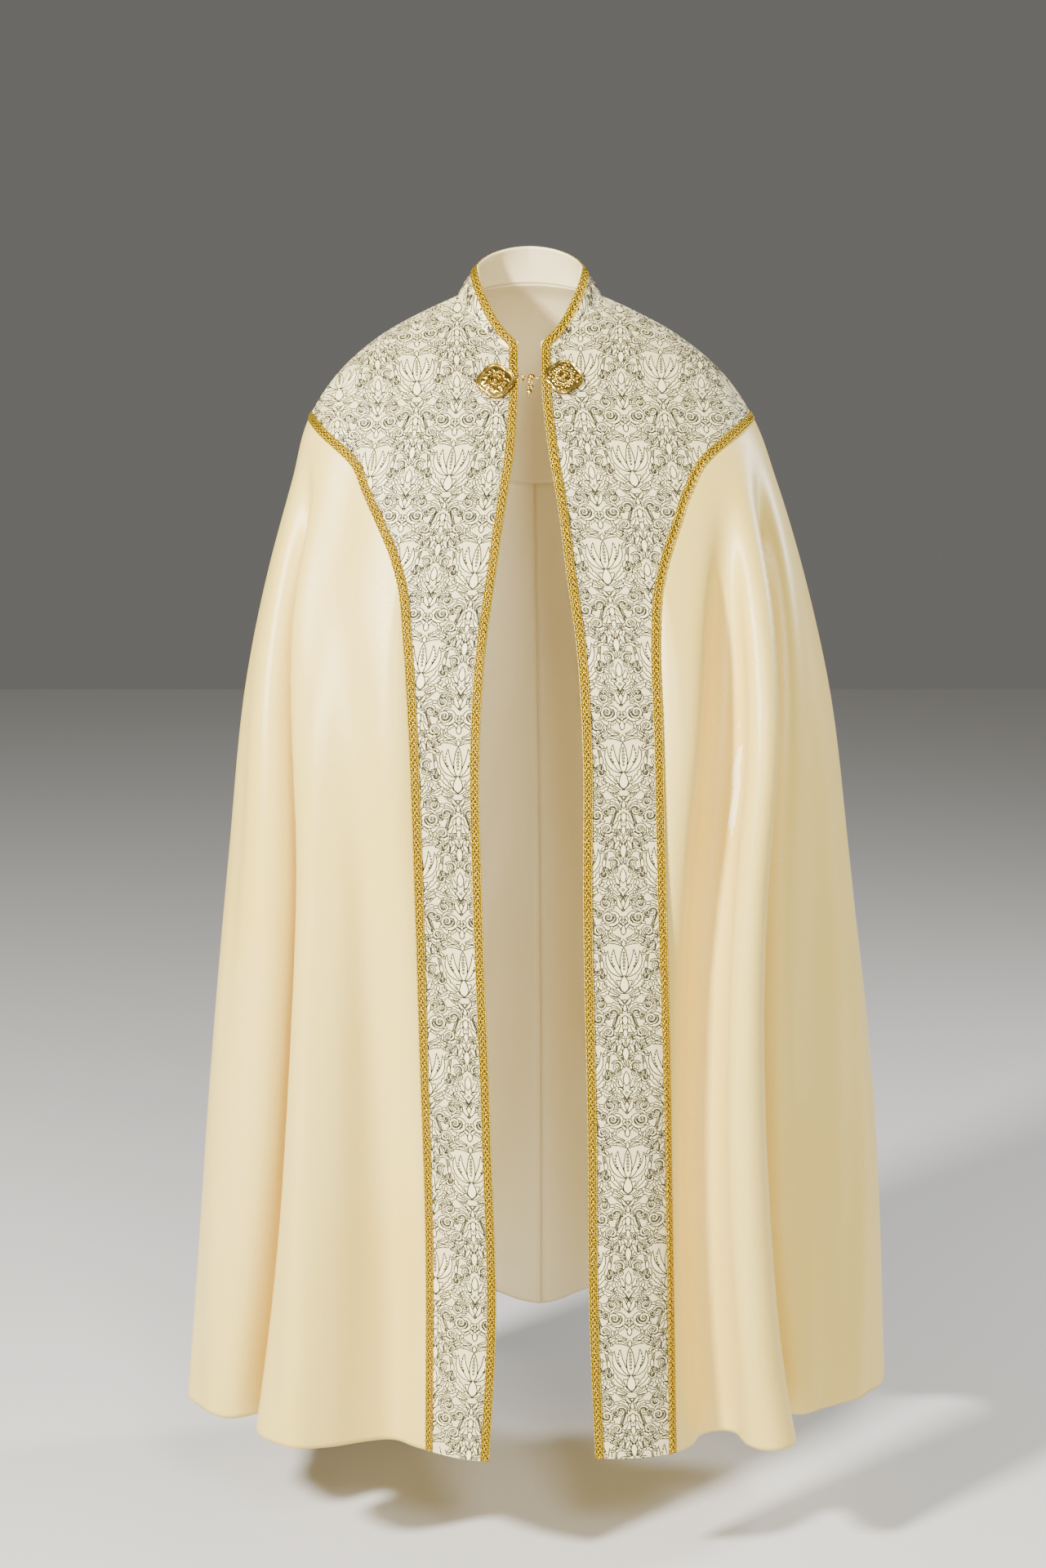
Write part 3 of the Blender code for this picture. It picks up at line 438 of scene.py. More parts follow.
def thickened(piece, lining):
    # gives a sheet of cloth its thickness inwards, with the lining's finish on its inner face
    piece.data.materials.append(lining)
    solid = piece.modifiers.new("cloth thickness", "SOLIDIFY")
    solid.thickness = copeForm["clothThick"]
    solid.offset = -1.0
    solid.use_even_offset = False
    solid.material_offset = 1


def keepValues(piece, name, values):
    # one number for each point of a mesh, which its material reads by name
    layer = piece.data.attributes.new(name, "FLOAT", "POINT")
    layer.data.foreach_set("value", np.asarray(values, np.float32).ravel())


def dressed(piece, node=None):
    # the whole cope is one body; a piece that stands for a solid hides it
    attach(piece, "root")
    if node is not None:
        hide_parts(node)
    return piece


# The damask is drawn in millimetres on the flat cloth, round a motif's middle, and is then laid
# on the form: "span" is how far a place is from the middle of the garment, and "run" how far
# down the cloth it lies, along a line that keeps its distance from the middle.
cutting = {
    "frontLevel": -0.330,
    "backLevel": -0.235,
    "spans": np.linspace(0.0, 0.30, 151),
    "runs": np.linspace(-0.45, 1.15, 641),
    # where the motif's middle lies: from the front edge, or from the middle of the back, and down
    "motifAt": {(-1, False): (0.025, -0.022), (1, False): (0.047, 0.216), (-1, True): (0.0, -0.100)},
}
cutting["motifAt"][(1, True)] = cutting["motifAt"][(-1, True)]
cuttings = {}


def bilinear(table, rows, columns, row, column):
    # reads a table between its rows and columns
    i = np.clip(np.searchsorted(rows, row) - 1, 0, len(rows) - 2)
    j = np.clip(np.searchsorted(columns, column) - 1, 0, len(columns) - 2)
    a = np.clip((row - rows[i]) / (rows[i + 1] - rows[i]), 0.0, 1.0)
    b = np.clip((column - columns[j]) / (columns[j + 1] - columns[j]), 0.0, 1.0)
    upper = table[i, j] * (1 - b) + table[i, j + 1] * b
    lower = table[i + 1, j] * (1 - b) + table[i + 1, j + 1] * b
    return upper * (1 - a) + lower * a


def cuttingFor(side, back):
    # tables that turn a place on the form into a place on the flat cloth, and back
    if (side, back) in cuttings:
        return cuttings[(side, back)]
    halfWidth, lean, square = (curveThrough(copeForm["sections"], n, levels) for n in (1, 7, 8))
    spans = cutting["spans"]
    angle = np.arcsin(np.clip(spans[:, None] / halfWidth, 0.0, 1.0) ** (square / 2.0))
    points = ovalPoint(side, levels[None, :], math.pi - angle if back else angle)
    steps = np.linalg.norm(np.diff(points, axis=1), axis=2)
    run = np.concatenate([np.zeros((len(spans), 1)), np.cumsum(steps, axis=1)], axis=1)
    level = cutting["backLevel"] if back else cutting["frontLevel"]
    for i in range(len(spans)):
        run[i] -= np.interp(-level, -points[i, :, 2], run[i])
    table = np.array([np.interp(cutting["runs"], run[i], levels) for i in range(len(spans))])
    edgeSpan = frontEdgeX(side, levels) - side * lean
    edgeRun = bilinear(run, spans, levels, edgeSpan, levels)
    edgeSpan = 0.0 * edgeSpan if back else edgeSpan
    found = {"run": run, "table": table, "edgeRun": edgeRun, "edgeSpan": edgeSpan}
    cuttings[(side, back)] = found
    return found


def onFlatCloth(side, around, down, back=False):
    # where a place on the form lies on the flat cloth, in metres from the motif's middle
    tables = cuttingFor(side, back)
    halfWidth, square = (curveThrough(copeForm["sections"], n, down) for n in (1, 8))
    span = halfWidth * np.abs(np.sin(angleAt(side, around, down))) ** (2.0 / square)
    run = bilinear(tables["run"], cutting["spans"], levels, span, down)
    aside, below = cutting["motifAt"][(side, back)]
    return span - np.interp(run, tables["edgeRun"], tables["edgeSpan"]) - aside, below - run


def fromFlatCloth(side, x, y, back=False):
    # the place on the form of a point of the flat cloth, and whether there is one
    tables = cuttingFor(side, back)
    aside, below = cutting["motifAt"][(side, back)]
    run = below - y
    span = x + aside + np.interp(run, tables["edgeRun"], tables["edgeSpan"])
    down = bilinear(tables["table"], cutting["spans"], cutting["runs"], span, run)
    halfWidth, square = (curveThrough(copeForm["sections"], n, down) for n in (1, 8))
    share = span / halfWidth
    angle = np.arcsin(np.clip(share, 0.0, 1.0) ** (square / 2.0))
    angle = math.pi - angle if back else angle
    form = measured[side]
    length = bilinear(form["lengths"], levels, angles, down, angle)
    edge, flank, end = formLengths(side, down)
    front = 0.5 * (length - edge) / (flank - edge)
    around = np.where(length < flank, front, 0.5 + 0.5 * (length - flank) / (end - flank))
    return around, down, (span > -0.0005) & (share < 0.999) & (down > 1e-4) & (down < 1.0)


damaskThread = {
    "wide": 0.00135,
    "low": 0.00004,
    "high": 0.00034,
    "fromEdge": 0.004,
    "near": 0.001,
    # the flat cloth that each piece's threads are taken from, in millimetres: x and y, low and high
    "frontArea": (-90.0, 330.0, -1150.0, 400.0),
    "backArea": (-330.0, 330.0, -200.0, 400.0),
    "collarArea": (-270.0, 270.0, -60.0, 60.0),
}

damask = {
    "columnGap": 48.5,
    "sampleStep": 0.8,
    "lineError": 0.47,
    "softness": 2.4,
    "repeat": 243.0,
    "stems": (
        # four corners of each curve (x, y), and its width: the ogee stems that join the fruits
        (1, -48, 36, -44, 20, 40, 47, 70, 3.8),
        (0, 74, 4, 84, 10, 90, 18, 90, 3.0),
        (0, -94, 5, -104, 12, -110, 20, -110, 3.0),
    ),
    "leaves": (
        # root x, root y, tip x, tip y, bend, wide, lobes: long leaves
        (3, -34, 26, 2, -0.34, 11, 5),
        (5, -40, 26, -26, -0.25, 8, 4),
        (20, 20, 33, 44, -0.45, 10, 5),
        (16, 30, 31, 22, 0.40, 7, 4),
        (1, 19, 22, 22, 0.45, 8, 5),
        (3, 28, 18, 38, -0.40, 7, 4),
        (3, 90, 21, 74, 0.45, 10, 5),
        (2, 80, 16, 104, -0.38, 10, 5),
        (16, 84, 31, 92, -0.35, 9, 4),
        (3, -62, 22, -52, 0.42, 8, 4),
        (5, -72, 25, -92, -0.42, 12, 6),
        (2, -112, 15, -84, 0.30, 9, 5),
        (12, -96, 28, -112, -0.35, 9, 5),
        (2, 116, 15, 134, 0.42, 8, 5),
        (26, -8, 42, -22, -0.30, 8, 4),
        (1, 45, 16, 34, 0.40, 8, 4),
        (36, 26, 26, 14, 0.35, 7, 4),
        (24, -44, 36, -36, -0.35, 7, 4),
    ),
    "scrolls": (
        # x, y, radius, start, turns, wide
        (13.5, 53, 12.0, 105, 1.9, 5.0),
        (29, 37, 8.0, 250, 1.5, 3.8),
        (14, -62, 7.6, 200, 1.6, 3.6),
        (31, -68, 8.2, 20, 1.7, 3.8),
        (36, -49, 6.6, 160, 1.5, 3.2),
        (38, -4, 7.4, 150, 1.6, 3.6),
        (20, 70, 6.6, 60, 1.5, 3.4),
        (7, 70, 4.6, 230, 1.25, 2.6),
        (8, -88, 4.4, 290, 1.3, 2.4),
        (9, 110, 4.8, 120, 1.3, 2.8),
        (22, 104, 5.4, 20, 1.4, 3.0),
        (22, -101, 4.6, 240, 1.3, 2.6),
        (30, -12, 4.4, 20, 1.3, 2.4),
        (28, 58, 5.4, 300, 1.4, 2.8),
        (6, -116, 4.0, 200, 1.2, 2.4),
    ),
    "petals": (
        # root x, root y, tip x, tip y, wide, bend
        (2, -18, 19, 14, 6.0, -0.40),
        (1, -18, 12, 16, 6.0, -0.24),
        (0, -19, 0, 18, 10, 0.0),
        (0, 18, 0, 27, 5, 0.0),
        (0, -38, 11, -33, 7, 0.35),
        (0, -37, 10, -22, 9, 0.25),
        (0, -37, 0, -16, 11, 0.0),
        (0, -52, 8, -41, 4, -0.25),
        (0, -60, 0, -50, 5, 0.0),
        (1, 38, 8, 46, 4.5, 0.25),
        (0, 32, 0, 44, 6, 0.0),
        (0, 60, 0, 76, 7, 0.0),
        (0, 62, 6, 80, 5, -0.25),
        (4, 92, 8, 104, 5, -0.2),
        (0, 94, 0, 112, 8, 0.0),
        (0, -66, 6, -76, 5, 0.25),
        (0, -64, 0, -77, 7, 0.0),
        (0, -80, 0, -92, 6, 0.0),
        (4, -98, 9, -110, 5, 0.25),
        (0, -102, 0, -120, 8, 0.0),
        (1, 54, 5, 48, 3.5, 0.3),
        (13, 92, 17, 86, 3.5, 0.2),
        (27, -82, 28, -92, 3.5, 0.2),
        (23, 10, 28, 16, 3.5, 0.2),
        (22, -76, 28, -74, 3.5, 0.2),
    ),
    "seeds": (
        # x, y, radius
        (0, 11, 1.1),
        (0, 7.5, 1.3),
        (0, 3.5, 1.4),
        (0, -0.5, 1.4),
        (0, -4.5, 1.3),
        (0, -8.5, 1.1),
        (13.6, 9, 0.9),
        (14.6, 5.5, 1.0),
        (14.6, 2, 1.0),
        (13.6, -1.5, 1.0),
        (12.0, -5, 0.9),
        (0, -47, 2.0),
        (0, 49, 2.0),
        (0, 86, 1.6),
        (0, -97, 1.6),
    ),
}


def bentLine(root, tip, bend, count):
    # a curve from root to tip, bent aside by a share of its length
    root, tip = np.array(root, float), np.array(tip, float)
    along = tip - root
    aside = np.array([-along[1], along[0]])
    t = np.linspace(0.0, 1.0, count)[:, None]
    middle = root + 0.5 * along + bend * aside
    return (1 - t) ** 2 * root + 2 * t * (1 - t) * middle + t**2 * tip


def aheadAndAside(spine):
    # the ways along a flat line and across it, at each of its points
    ahead = np.gradient(spine, axis=0)
    ahead = ahead / np.linalg.norm(ahead, axis=1)[:, None]
    return ahead, np.stack([-ahead[:, 1], ahead[:, 0]], -1)


def leafShape(row):
    rootX, rootY, tipX, tipY, bend, wide, lobes = row
    spine = bentLine((rootX, rootY), (tipX, tipY), bend, 12 * lobes + 1)
    ahead, aside = aheadAndAside(spine)
    t = np.linspace(0.0, 1.0, len(spine))
    length = np.linalg.norm(np.diff(spine, axis=0), axis=1).sum()
    body = 0.5 * wide * np.sin(math.pi * np.clip(t, 0, 1) ** 0.75) ** 0.8
    phase = (t * lobes) % 1.0
    scallop = 0.52 + 0.48 * np.sin(math.pi * phase**0.8) ** 0.7
    lean = 0.35 * (length / lobes) * np.sin(math.pi * phase) * (t < 0.97)
    left = spine + aside * (body * scallop)[:, None] + ahead * lean[:, None]
    right = spine - aside * (body * scallop)[:, None] + ahead * lean[:, None]
    return np.concatenate([left, right[::-1]]), [spine[len(spine) // 8 : -len(spine) // 6]]


def scrollShape(row):
    x, y, radius, start, turns, wide = row
    t = np.linspace(0.0, 1.0, int(26 * turns) + 2)
    angle = math.radians(start) - 2 * math.pi * turns * t
    reach = radius * (1.0 - 0.80 * t**0.85)
    swell = 0.15 + 0.85 * np.sin(math.pi * np.clip(t * 0.9 + 0.05, 0, 1)) ** 0.6
    half = 0.5 * wide * swell * (1 - 0.45 * t)
    way = np.stack([np.cos(angle), np.sin(angle)], -1)
    centre = np.array([x, y], float)
    outer = centre + way * (reach + half)[:, None]
    inner = centre + way * np.maximum(reach - half, 0.3)[:, None]
    return np.concatenate([outer, inner[::-1]]), []


def stemShape(row):
    a, b, c, d = (np.array(row[2 * n : 2 * n + 2], float) for n in range(4))
    t = np.linspace(0.0, 1.0, 31)[:, None]
    spine = (1 - t) ** 3 * a + 3 * t * (1 - t) ** 2 * b + 3 * t**2 * (1 - t) * c + t**3 * d
    aside = aheadAndAside(spine)[1] * 0.5 * row[8] * (1.0 - 0.3 * t)
    return np.concatenate([spine + aside, (spine - aside)[::-1]]), [spine[3:-3]]


def petalShape(row):
    rootX, rootY, tipX, tipY, wide, bend = row
    spine = bentLine((rootX, rootY), (tipX, tipY), bend, 15)
    t = np.linspace(0.0, 1.0, len(spine))[:, None]
    aside = aheadAndAside(spine)[1] * (0.5 * wide * np.sin(math.pi * t**0.8) ** 0.75)
    return np.concatenate([spine + aside, (spine - aside)[::-1]]), []


def seedShape(row):
    x, y, radius = row
    angle = np.linspace(0, 2 * math.pi, 13)[:-1]
    return np.stack([x + radius * np.cos(angle), y + radius * np.sin(angle)], -1), []


def damaskShapes():
    # one column's shapes, undermost first: (outline, veins)
    kinds = ("stems", "leaves", "scrolls", "petals", "seeds")
    makers = (stemShape, leafShape, scrollShape, petalShape, seedShape)
    return [maker(row) for kind, maker in zip(kinds, makers) for row in damask[kind]]


def insideOf(points, outline):
    # which points lie inside a closed outline
    x, y = points[:, 0], points[:, 1]
    found = np.zeros(len(points), bool)
    a, b = outline, np.roll(outline, -1, axis=0)
    for (ax, ay), (bx, by) in zip(a, b):
        if ay == by:
            continue
        crosses = (ay > y) != (by > y)
        found ^= crosses & (x < (bx - ax) * (y - ay) / (by - ay) + ax)
    return found


def latticeCopies(shapes):
    # every copy that can reach the middle column: mirrored, stacked, and stepped by half a repeat
    gap, repeat = damask["columnGap"], damask["repeat"]
    copies = []
    for rank, (outline, _) in enumerate(shapes):
        for column in (-1, 0, 1):
            for stack in (-1, 0, 1):
                move = np.array([column * gap, (stack + 0.5 * (column % 2)) * repeat])
                copies += [(rank, outline * (mirror, 1.0) + move) for mirror in (1, -1)]
    return copies


def simplified(line, tolerance):
    # leaves out the points that the line passes within the tolerance without them
    keep = np.zeros(len(line), bool)
    keep[0] = keep[-1] = True
    stack = [(0, len(line) - 1)]
    while stack:
        first, last = stack.pop()
        if last <= first + 1:
            continue
        a, b = line[first], line[last]
        way, rest = b - a, line[first + 1 : last] - a
        size = np.hypot(*way)
        if size > 0.5:
            off = np.abs(way[0] * rest[:, 1] - way[1] * rest[:, 0]) / size
        else:
            off = np.hypot(*rest.T)
        worst = int(np.argmax(off))
        if off[worst] > tolerance:
            keep[first + 1 + worst] = True
            stack += [(first, first + 1 + worst), (first + 1 + worst, last)]
    return line[keep]


def resampled(line, step):
    run = runAlong(line)
    even = np.linspace(0.0, run[-1], max(int(run[-1] / step), 3) + 1)
    return np.stack([np.interp(even, run, line[:, axis]) for axis in range(2)], -1)


def damaskLines():
    # the lines of one column over one repeat, cut where a shape above hides them
    shapes = damaskShapes()
    copies = latticeCopies(shapes)
    boxes = [(shape.min(0), shape.max(0)) for _, shape in copies]
    lines = []
    for rank, (outline, veins) in enumerate(shapes):
        closed = np.concatenate([outline, outline[:1]])
        for line in [closed] + veins:
            line = resampled(line, damask["sampleStep"])
            low, high = line.min(0) - 0.1, line.max(0) + 0.1
            hidden = np.zeros(len(line), bool)
            for (other, shape), (boxLow, boxHigh) in zip(copies, boxes):
                if other > rank and (boxLow <= high).all() and (boxHigh >= low).all():
                    hidden |= insideOf(line, shape)
            run = []
            for point, out in zip([*line, None], [*hidden, True]):
                if not out:
                    run.append(point)
                    continue
                if len(run) > 2:
                    lines.append(simplified(np.array(run), damask["lineError"]))
                run = []
    return shapes, lines


damaskOutlines, damaskRuns = damaskLines()


def leafShare():
    # how far each spot of one repeat is inside a leaf, from 0 to 1, softened for the weave
    wide, high = int(2 * damask["columnGap"]), int(damask["repeat"])
    x, y = np.meshgrid(*(np.arange(2 * size) / 2.0 - size / 2.0 for size in (wide, high)))
    spots = np.stack([x.ravel(), y.ravel()], -1)
    inside = np.zeros(len(spots), bool)
    for _, outline in latticeCopies(damaskOutlines):
        low, high = outline.min(0), outline.max(0)
        near = np.flatnonzero(((spots >= low) & (spots <= high)).all(axis=1))
        inside[near] |= insideOf(spots[near], outline)
    share = inside.reshape(x.shape).astype(float)
    fy, fx = np.fft.fftfreq(x.shape[0])[:, None], np.fft.fftfreq(x.shape[1])[None, :]
    soft = np.exp(-2.0 * (math.pi * damask["softness"]) ** 2 * (fx**2 + fy**2))
    return np.real(np.fft.ifft2(np.fft.fft2(share) * soft))


leafTable = leafShare()


def leafAt(x, y):
    # reads the table of leaves at places of the flat cloth, in metres
    rows, columns = leafTable.shape
    u = (x * 1000.0 + damask["columnGap"]) * 2.0
    v = (y * 1000.0 + damask["repeat"] / 2.0) * 2.0
    i, j = np.floor(v).astype(int), np.floor(u).astype(int)
    a, b = v - i, u - j
    left, right = j % columns, (j + 1) % columns
    upper, lower = (
        leafTable[row, left] * (1 - b) + leafTable[row, right] * b for row in (i % rows, (i + 1) % rows)
    )
    return upper * (1 - a) + lower * a


def tiledLines(lowX, highX, lowY, highY):
    # the damask's lines over an area of flat cloth, in metres, with the run that each point is in
    gap, repeat = damask["columnGap"], damask["repeat"]
    lines = []
    for column in range(math.floor(lowX / gap) - 1, math.ceil(highX / gap) + 2):
        for stack in range(math.floor(lowY / repeat) - 2, math.ceil(highY / repeat) + 2):
            move = np.array([column * gap, (stack + 0.5 * (column % 2)) * repeat])
            for mirror in (1.0, -1.0):
                lines += [line * (mirror, 1.0) + move for line in damaskRuns]
    numbers = np.concatenate([np.full(len(line), n) for n, line in enumerate(lines)])
    return np.concatenate(lines) / 1000.0, numbers


def threadPiece(name, points, normals, numbers, kept, material):
    # a fine raised thread along each run of the pattern's points that are kept, which lie at `points`
    breaks = (np.diff(numbers) != 0) | ~kept[1:] | ~kept[:-1]
    numbers = np.cumsum(np.concatenate([[0], breaks]))[kept]
    groups = np.split(np.arange(len(points)), np.flatnonzero(np.diff(numbers)) + 1)
    places, counts = [], []
    wide, low, high = damaskThread["wide"], damaskThread["low"], damaskThread["high"]
    for group in groups:
        if len(group) < 2:
            continue
        line, out = points[group], normals[group]
        aside = unitOf(np.cross(out, np.gradient(line, axis=0))) * wide / 2
        rows = np.stack([line + aside + out * low, line - aside + out * low, line + out * high], 1)
        places.append(rows.reshape(-1, 3))
        counts.append(len(group))
    first, faces = 0, []
    for count in counts:
        end = first + 3 * count
        for a in range(first, end - 3, 3):
            faces += [(a, a + 2, a + 5, a + 3), (a + 2, a + 1, a + 4, a + 5), (a + 1, a, a + 3, a + 4)]
        faces += [(first, first + 1, first + 2), (end - 2, end - 3, end - 1)]
        first = end
    return dressed(meshPiece(name, np.concatenate(places), faces, material))


def threadsOverBack(name, area, lay, material):
    # threads on a piece that crosses the middle of the back: `lay` places those of one side
    points, numbers = tiledLines(*area)
    places, normals = np.zeros((len(points), 3)), np.zeros((len(points), 3))
    kept = np.zeros(len(points), bool)
    for side in (-1, 1):
        mine = np.flatnonzero(points[:, 0] * side >= 0)
        real, laid = lay(side, np.abs(points[mine, 0]), points[mine, 1])
        mine = mine[real]
        places[mine], normals[mine] = laid
        kept[mine] = True
    return threadPiece(name, places[kept], normals[kept], numbers, kept, material)


def joinedHalves(halves):
    # the right half and the left one as one grid, joined in the middle of the back
    return np.concatenate([halves[0], halves[1][:, -2::-1]], axis=1)


def makeOverBack(name, halves, flats, material, lining, flip=False):
    # a piece of brocade that crosses the middle of the back
    points, flat = joinedHalves(halves), joinedHalves(flats).reshape(-1, 2)
    faces = gridFaces(*points.shape[:2], flip=flip)
    piece = meshPiece(name, points.reshape(-1, 3), faces, material, uv=flat)
    keepValues(piece, "leaf", leafAt(*flat.T))
    thickened(piece, lining)
    return piece


bodyCloth = {
    "seamSteps": 64,
    "bandSteps": 128,
    "backSteps": 80,
    "frontShare": 0.62,
    "flat": (1.44, 1.26),
    "flatArea": 1.34,
    "runDown": 1.24,
    "creaseGrow": 0.16,
    "rippleHigh": 0.0010,
    "rippleFade": 0.05,
    "rippleFrom": 0.2,
    "rippleGrow": 0.5,
    "rippleShift": 1.7,
    "ripples": (
        # share of the height, how fast it turns round and down, shift
        (1.0, 88.0, 3.0, 1.0),
        (0.7, 139.0, -5.0, 2.0),
        (0.5, 47.0, 9.0, 0.5),
    ),
    "creases": (
        # number of the fold, aside from its line, how far out, how far round, half width, start
        (1, 0.000, -0.0050, 0.000, 0.024, 0.26),
        (3, -0.030, 0.0120, 0.015, 0.018, 0.20),
        (3, 0.000, -0.0450, 0.000, 0.018, 0.18),
        (3, 0.032, 0.0060, -0.006, 0.020, 0.36),
        (4, 0.030, -0.0050, 0.000, 0.020, 0.35),
        (7, 0.004, -0.0240, 0.000, 0.024, 0.20),
        (8, -0.016, 0.0020, -0.009, 0.014, 0.18),
        (8, 0.000, 0.0080, 0.000, 0.016, 0.18),
        (8, 0.016, 0.0020, 0.009, 0.014, 0.18),
        (9, 0.000, -0.0360, 0.000, 0.015, 0.19),
        (10, 0.000, -0.0040, 0.000, 0.026, 0.30),
    ),
}


def sharpFolds(side, around, down):
    # the folds' own sharp ridges and creases: how far they stand out, and roll over to the back
    here, out, roll = lengthTo(side, around, down), 0.0, 0.0
    for number, aside, high, over, wide, start in bodyCloth["creases"]:
        if copeForm["folds"][number][0] == side:
            line = np.interp(down, levels, foldLines[number]) + aside * (0.5 + 0.5 * down)
            grown = eased((down - start) / bodyCloth["creaseGrow"])
            part = np.exp(-(((here - line) / wide) ** 2)) * grown
            out, roll = out + high * part, roll + over * part
    return out, roll


def fineRipple(side, around, down):
    # the slight waves of a hanging satin between its large folds
    here, shift = lengthTo(side, around, down), bodyCloth["rippleShift"] * side
    wave = sum(
        share * np.sin(here * byRound + byDown * down + apart * shift)
        for share, byRound, byDown, apart in bodyCloth["ripples"]
    )
    grown = eased((down - bodyCloth["rippleFrom"]) / bodyCloth["rippleGrow"])
    return bodyCloth["rippleHigh"] * wave * grown


def makeBody(side, material, lining):
    seamRound, seamDown = seamPath(side, bodyCloth["seamSteps"], bodyCloth["bandSteps"])
    backRound, backDown = backPath(bodyCloth["backSteps"])
    corner = bodyCloth["seamSteps"]
    leftRound, leftDown = seamRound[corner:], seamDown[corner:]
    topRound = np.concatenate([seamRound[: corner + 1][::-1], backRound[1:]])
    topDown = np.concatenate([seamDown[: corner + 1][::-1], backDown[1:]])
    share = np.linspace(0.0, 1.0, len(topRound))
    hemRound = np.interp(share, [0.0, bodyCloth["frontShare"], 1.0], [leftRound[-1], 0.5, 1.0])
    part = ((leftDown - leftDown[0]) / (1.0 - leftDown[0]))[:, None]
    around = topRound + (hemRound - topRound) * part
    down = topDown + (1.0 - topDown) * part
    around[:, 0], down[:, 0] = leftRound, leftDown
    points, normals = onCloth(side, around, down)
    here = lengthTo(side, around, down)
    fade = bodyCloth["rippleFade"]
    clear = eased((here - here[:, :1]) / fade) * eased(part / fade)
    clear = clear * eased((here[:, -1:] - here) / fade)
    out, roll = sharpFolds(side, around, down)
    byRound = unitOf(clothFrame(side, around, down)[0])
    points = points + normals * ((fineRipple(side, around, down) + out) * clear)[..., None]
    points = points + byRound * (roll * clear)[..., None]
    uv = np.stack([here * side, -down * bodyCloth["runDown"]], -1).reshape(-1, 2)
    faces = gridFaces(*around.shape, flip=side > 0)
    piece = meshPiece("body_cloth_" + sideNames[side], points.reshape(-1, 3), faces, material, uv=uv)
    thickened(piece, lining)
    dressed(piece, "body_" + sideNames[side])


yokeCloth = {
    "bandColumns": 34,
    "shoulderSteps": 58,
    "chestRows": 66,
    "bandRows": 260,
    "backRows": 54,
    "backColumns": 80,
    "frontFlat": (0.30, 1.42),
    "backFlat": (0.62, 0.29),
    "borderSteps": (40, 100),
    "backBorderSteps": 200,
}


def frontYokeBlocks(side):
    # the chest, from the neck to the band's top, and the band, from there to the hem
    steps, columns = yokeCloth["shoulderSteps"], yokeCloth["bandColumns"]
    seamRound, seamDown = seamPath(side, steps, yokeCloth["bandRows"])
    bandEdge = copeForm["bandTopEdge"]
    lowRound = np.concatenate([np.linspace(0.0, seamRound[steps], columns), seamRound[:steps][::-1]])
    lowDown = np.concatenate([np.linspace(bandEdge, seamDown[steps], columns), seamDown[:steps][::-1]])
    topRound = np.linspace(0.0, 0.5, len(lowRound))
    share = np.linspace(0.0, 1.0, yokeCloth["chestRows"] + 1)[:, None]
    chest = topRound + (lowRound - topRound) * share, lowDown * share
    endRound, endDown = seamRound[steps:, None], seamDown[steps:, None]
    part = (endDown - endDown[0]) / (1.0 - endDown[0])
    edgeDown = bandEdge + (1.0 - bandEdge) * part
    across = np.linspace(0.0, 1.0, columns)[None, :]
    band = endRound * across, edgeDown + (endDown - edgeDown) * across
    return chest, band


def makeFrontYoke(side, material, lining):
    chest, band = frontYokeBlocks(side)
    chestShape, bandShape = chest[0].shape, band[0].shape
    columns = bandShape[1]
    faces = gridFaces(*chestShape, flip=side > 0)
    numbers = chestShape[0] * chestShape[1] + np.arange((bandShape[0] - 1) * columns)
    numbers = np.concatenate([np.arange(columns) + (chestShape[0] - 1) * chestShape[1], numbers])
    faces += numbers[np.array(gridFaces(*bandShape, flip=side > 0))].tolist()
    around = np.concatenate([chest[0].ravel(), band[0][1:].ravel()])
    down = np.concatenate([chest[1].ravel(), band[1][1:].ravel()])
    points, flat = onCloth(side, around, down)[0], onFlatCloth(side, around, down)
    piece = meshPiece("yoke_cloth_" + sideNames[side], points, faces, material, uv=np.stack(flat, -1))
    keepValues(piece, "leaf", leafAt(*flat))
    thickened(piece, lining)
    dressed(piece, "yoke_front_" + sideNames[side])


def makeBackYoke(material, lining):
    halves, flats = [], []
    for side in (-1, 1):
        around, low = backPath(yokeCloth["backColumns"])
        share = np.linspace(0.0, 1.0, yokeCloth["backRows"] + 1)[:, None]
        around, down = around + 0.0 * share, low * share
        halves.append(onCloth(side, around, down)[0])
        x, y = onFlatCloth(side, around, down, back=True)
        flats.append(np.stack([x * side, y], -1))
    piece = makeOverBack("yoke_cloth_back", halves, flats, material, lining)
    dressed(piece, "yoke_back")


def makeFrontThreads(side, material):
    # the damask's outlines on a front yoke and its band, cut off short of the braids
    seam = np.stack(seamPath(side, *yokeCloth["borderSteps"]), -1)
    border = np.concatenate([[(0.5, 0.0)], seam, [(0.0, 1.0), (0.0, 0.0)]])
    points, numbers = tiledLines(*damaskThread["frontArea"])
    around, down, real = fromFlatCloth(side, points[:, 0], points[:, 1])
    kept = real & insideOf(np.stack([around, down], -1), border)
    x, y = onFlatCloth(side, around, down)
    kept &= np.hypot(x - points[:, 0], y - points[:, 1]) < damaskThread["near"]
    kept &= x + cutting["motifAt"][(side, False)][0] > damaskThread["fromEdge"]
    places, normals = onCloth(side, around[kept], down[kept])
    threadPiece("damask_threads_" + sideNames[side], places, normals, numbers, kept, material)


def layOnBack(side, x, y):
    around, down, real = fromFlatCloth(side, x, y, back=True)
    low = np.interp(around, *backPath(yokeCloth["backBorderSteps"]))
    again = onFlatCloth(side, around, down, back=True)
    real &= (down < low) & (around > 0.5)
    real &= np.hypot(again[0] - x, again[1] - y) < damaskThread["near"]
    return real, onCloth(side, around[real], down[real])


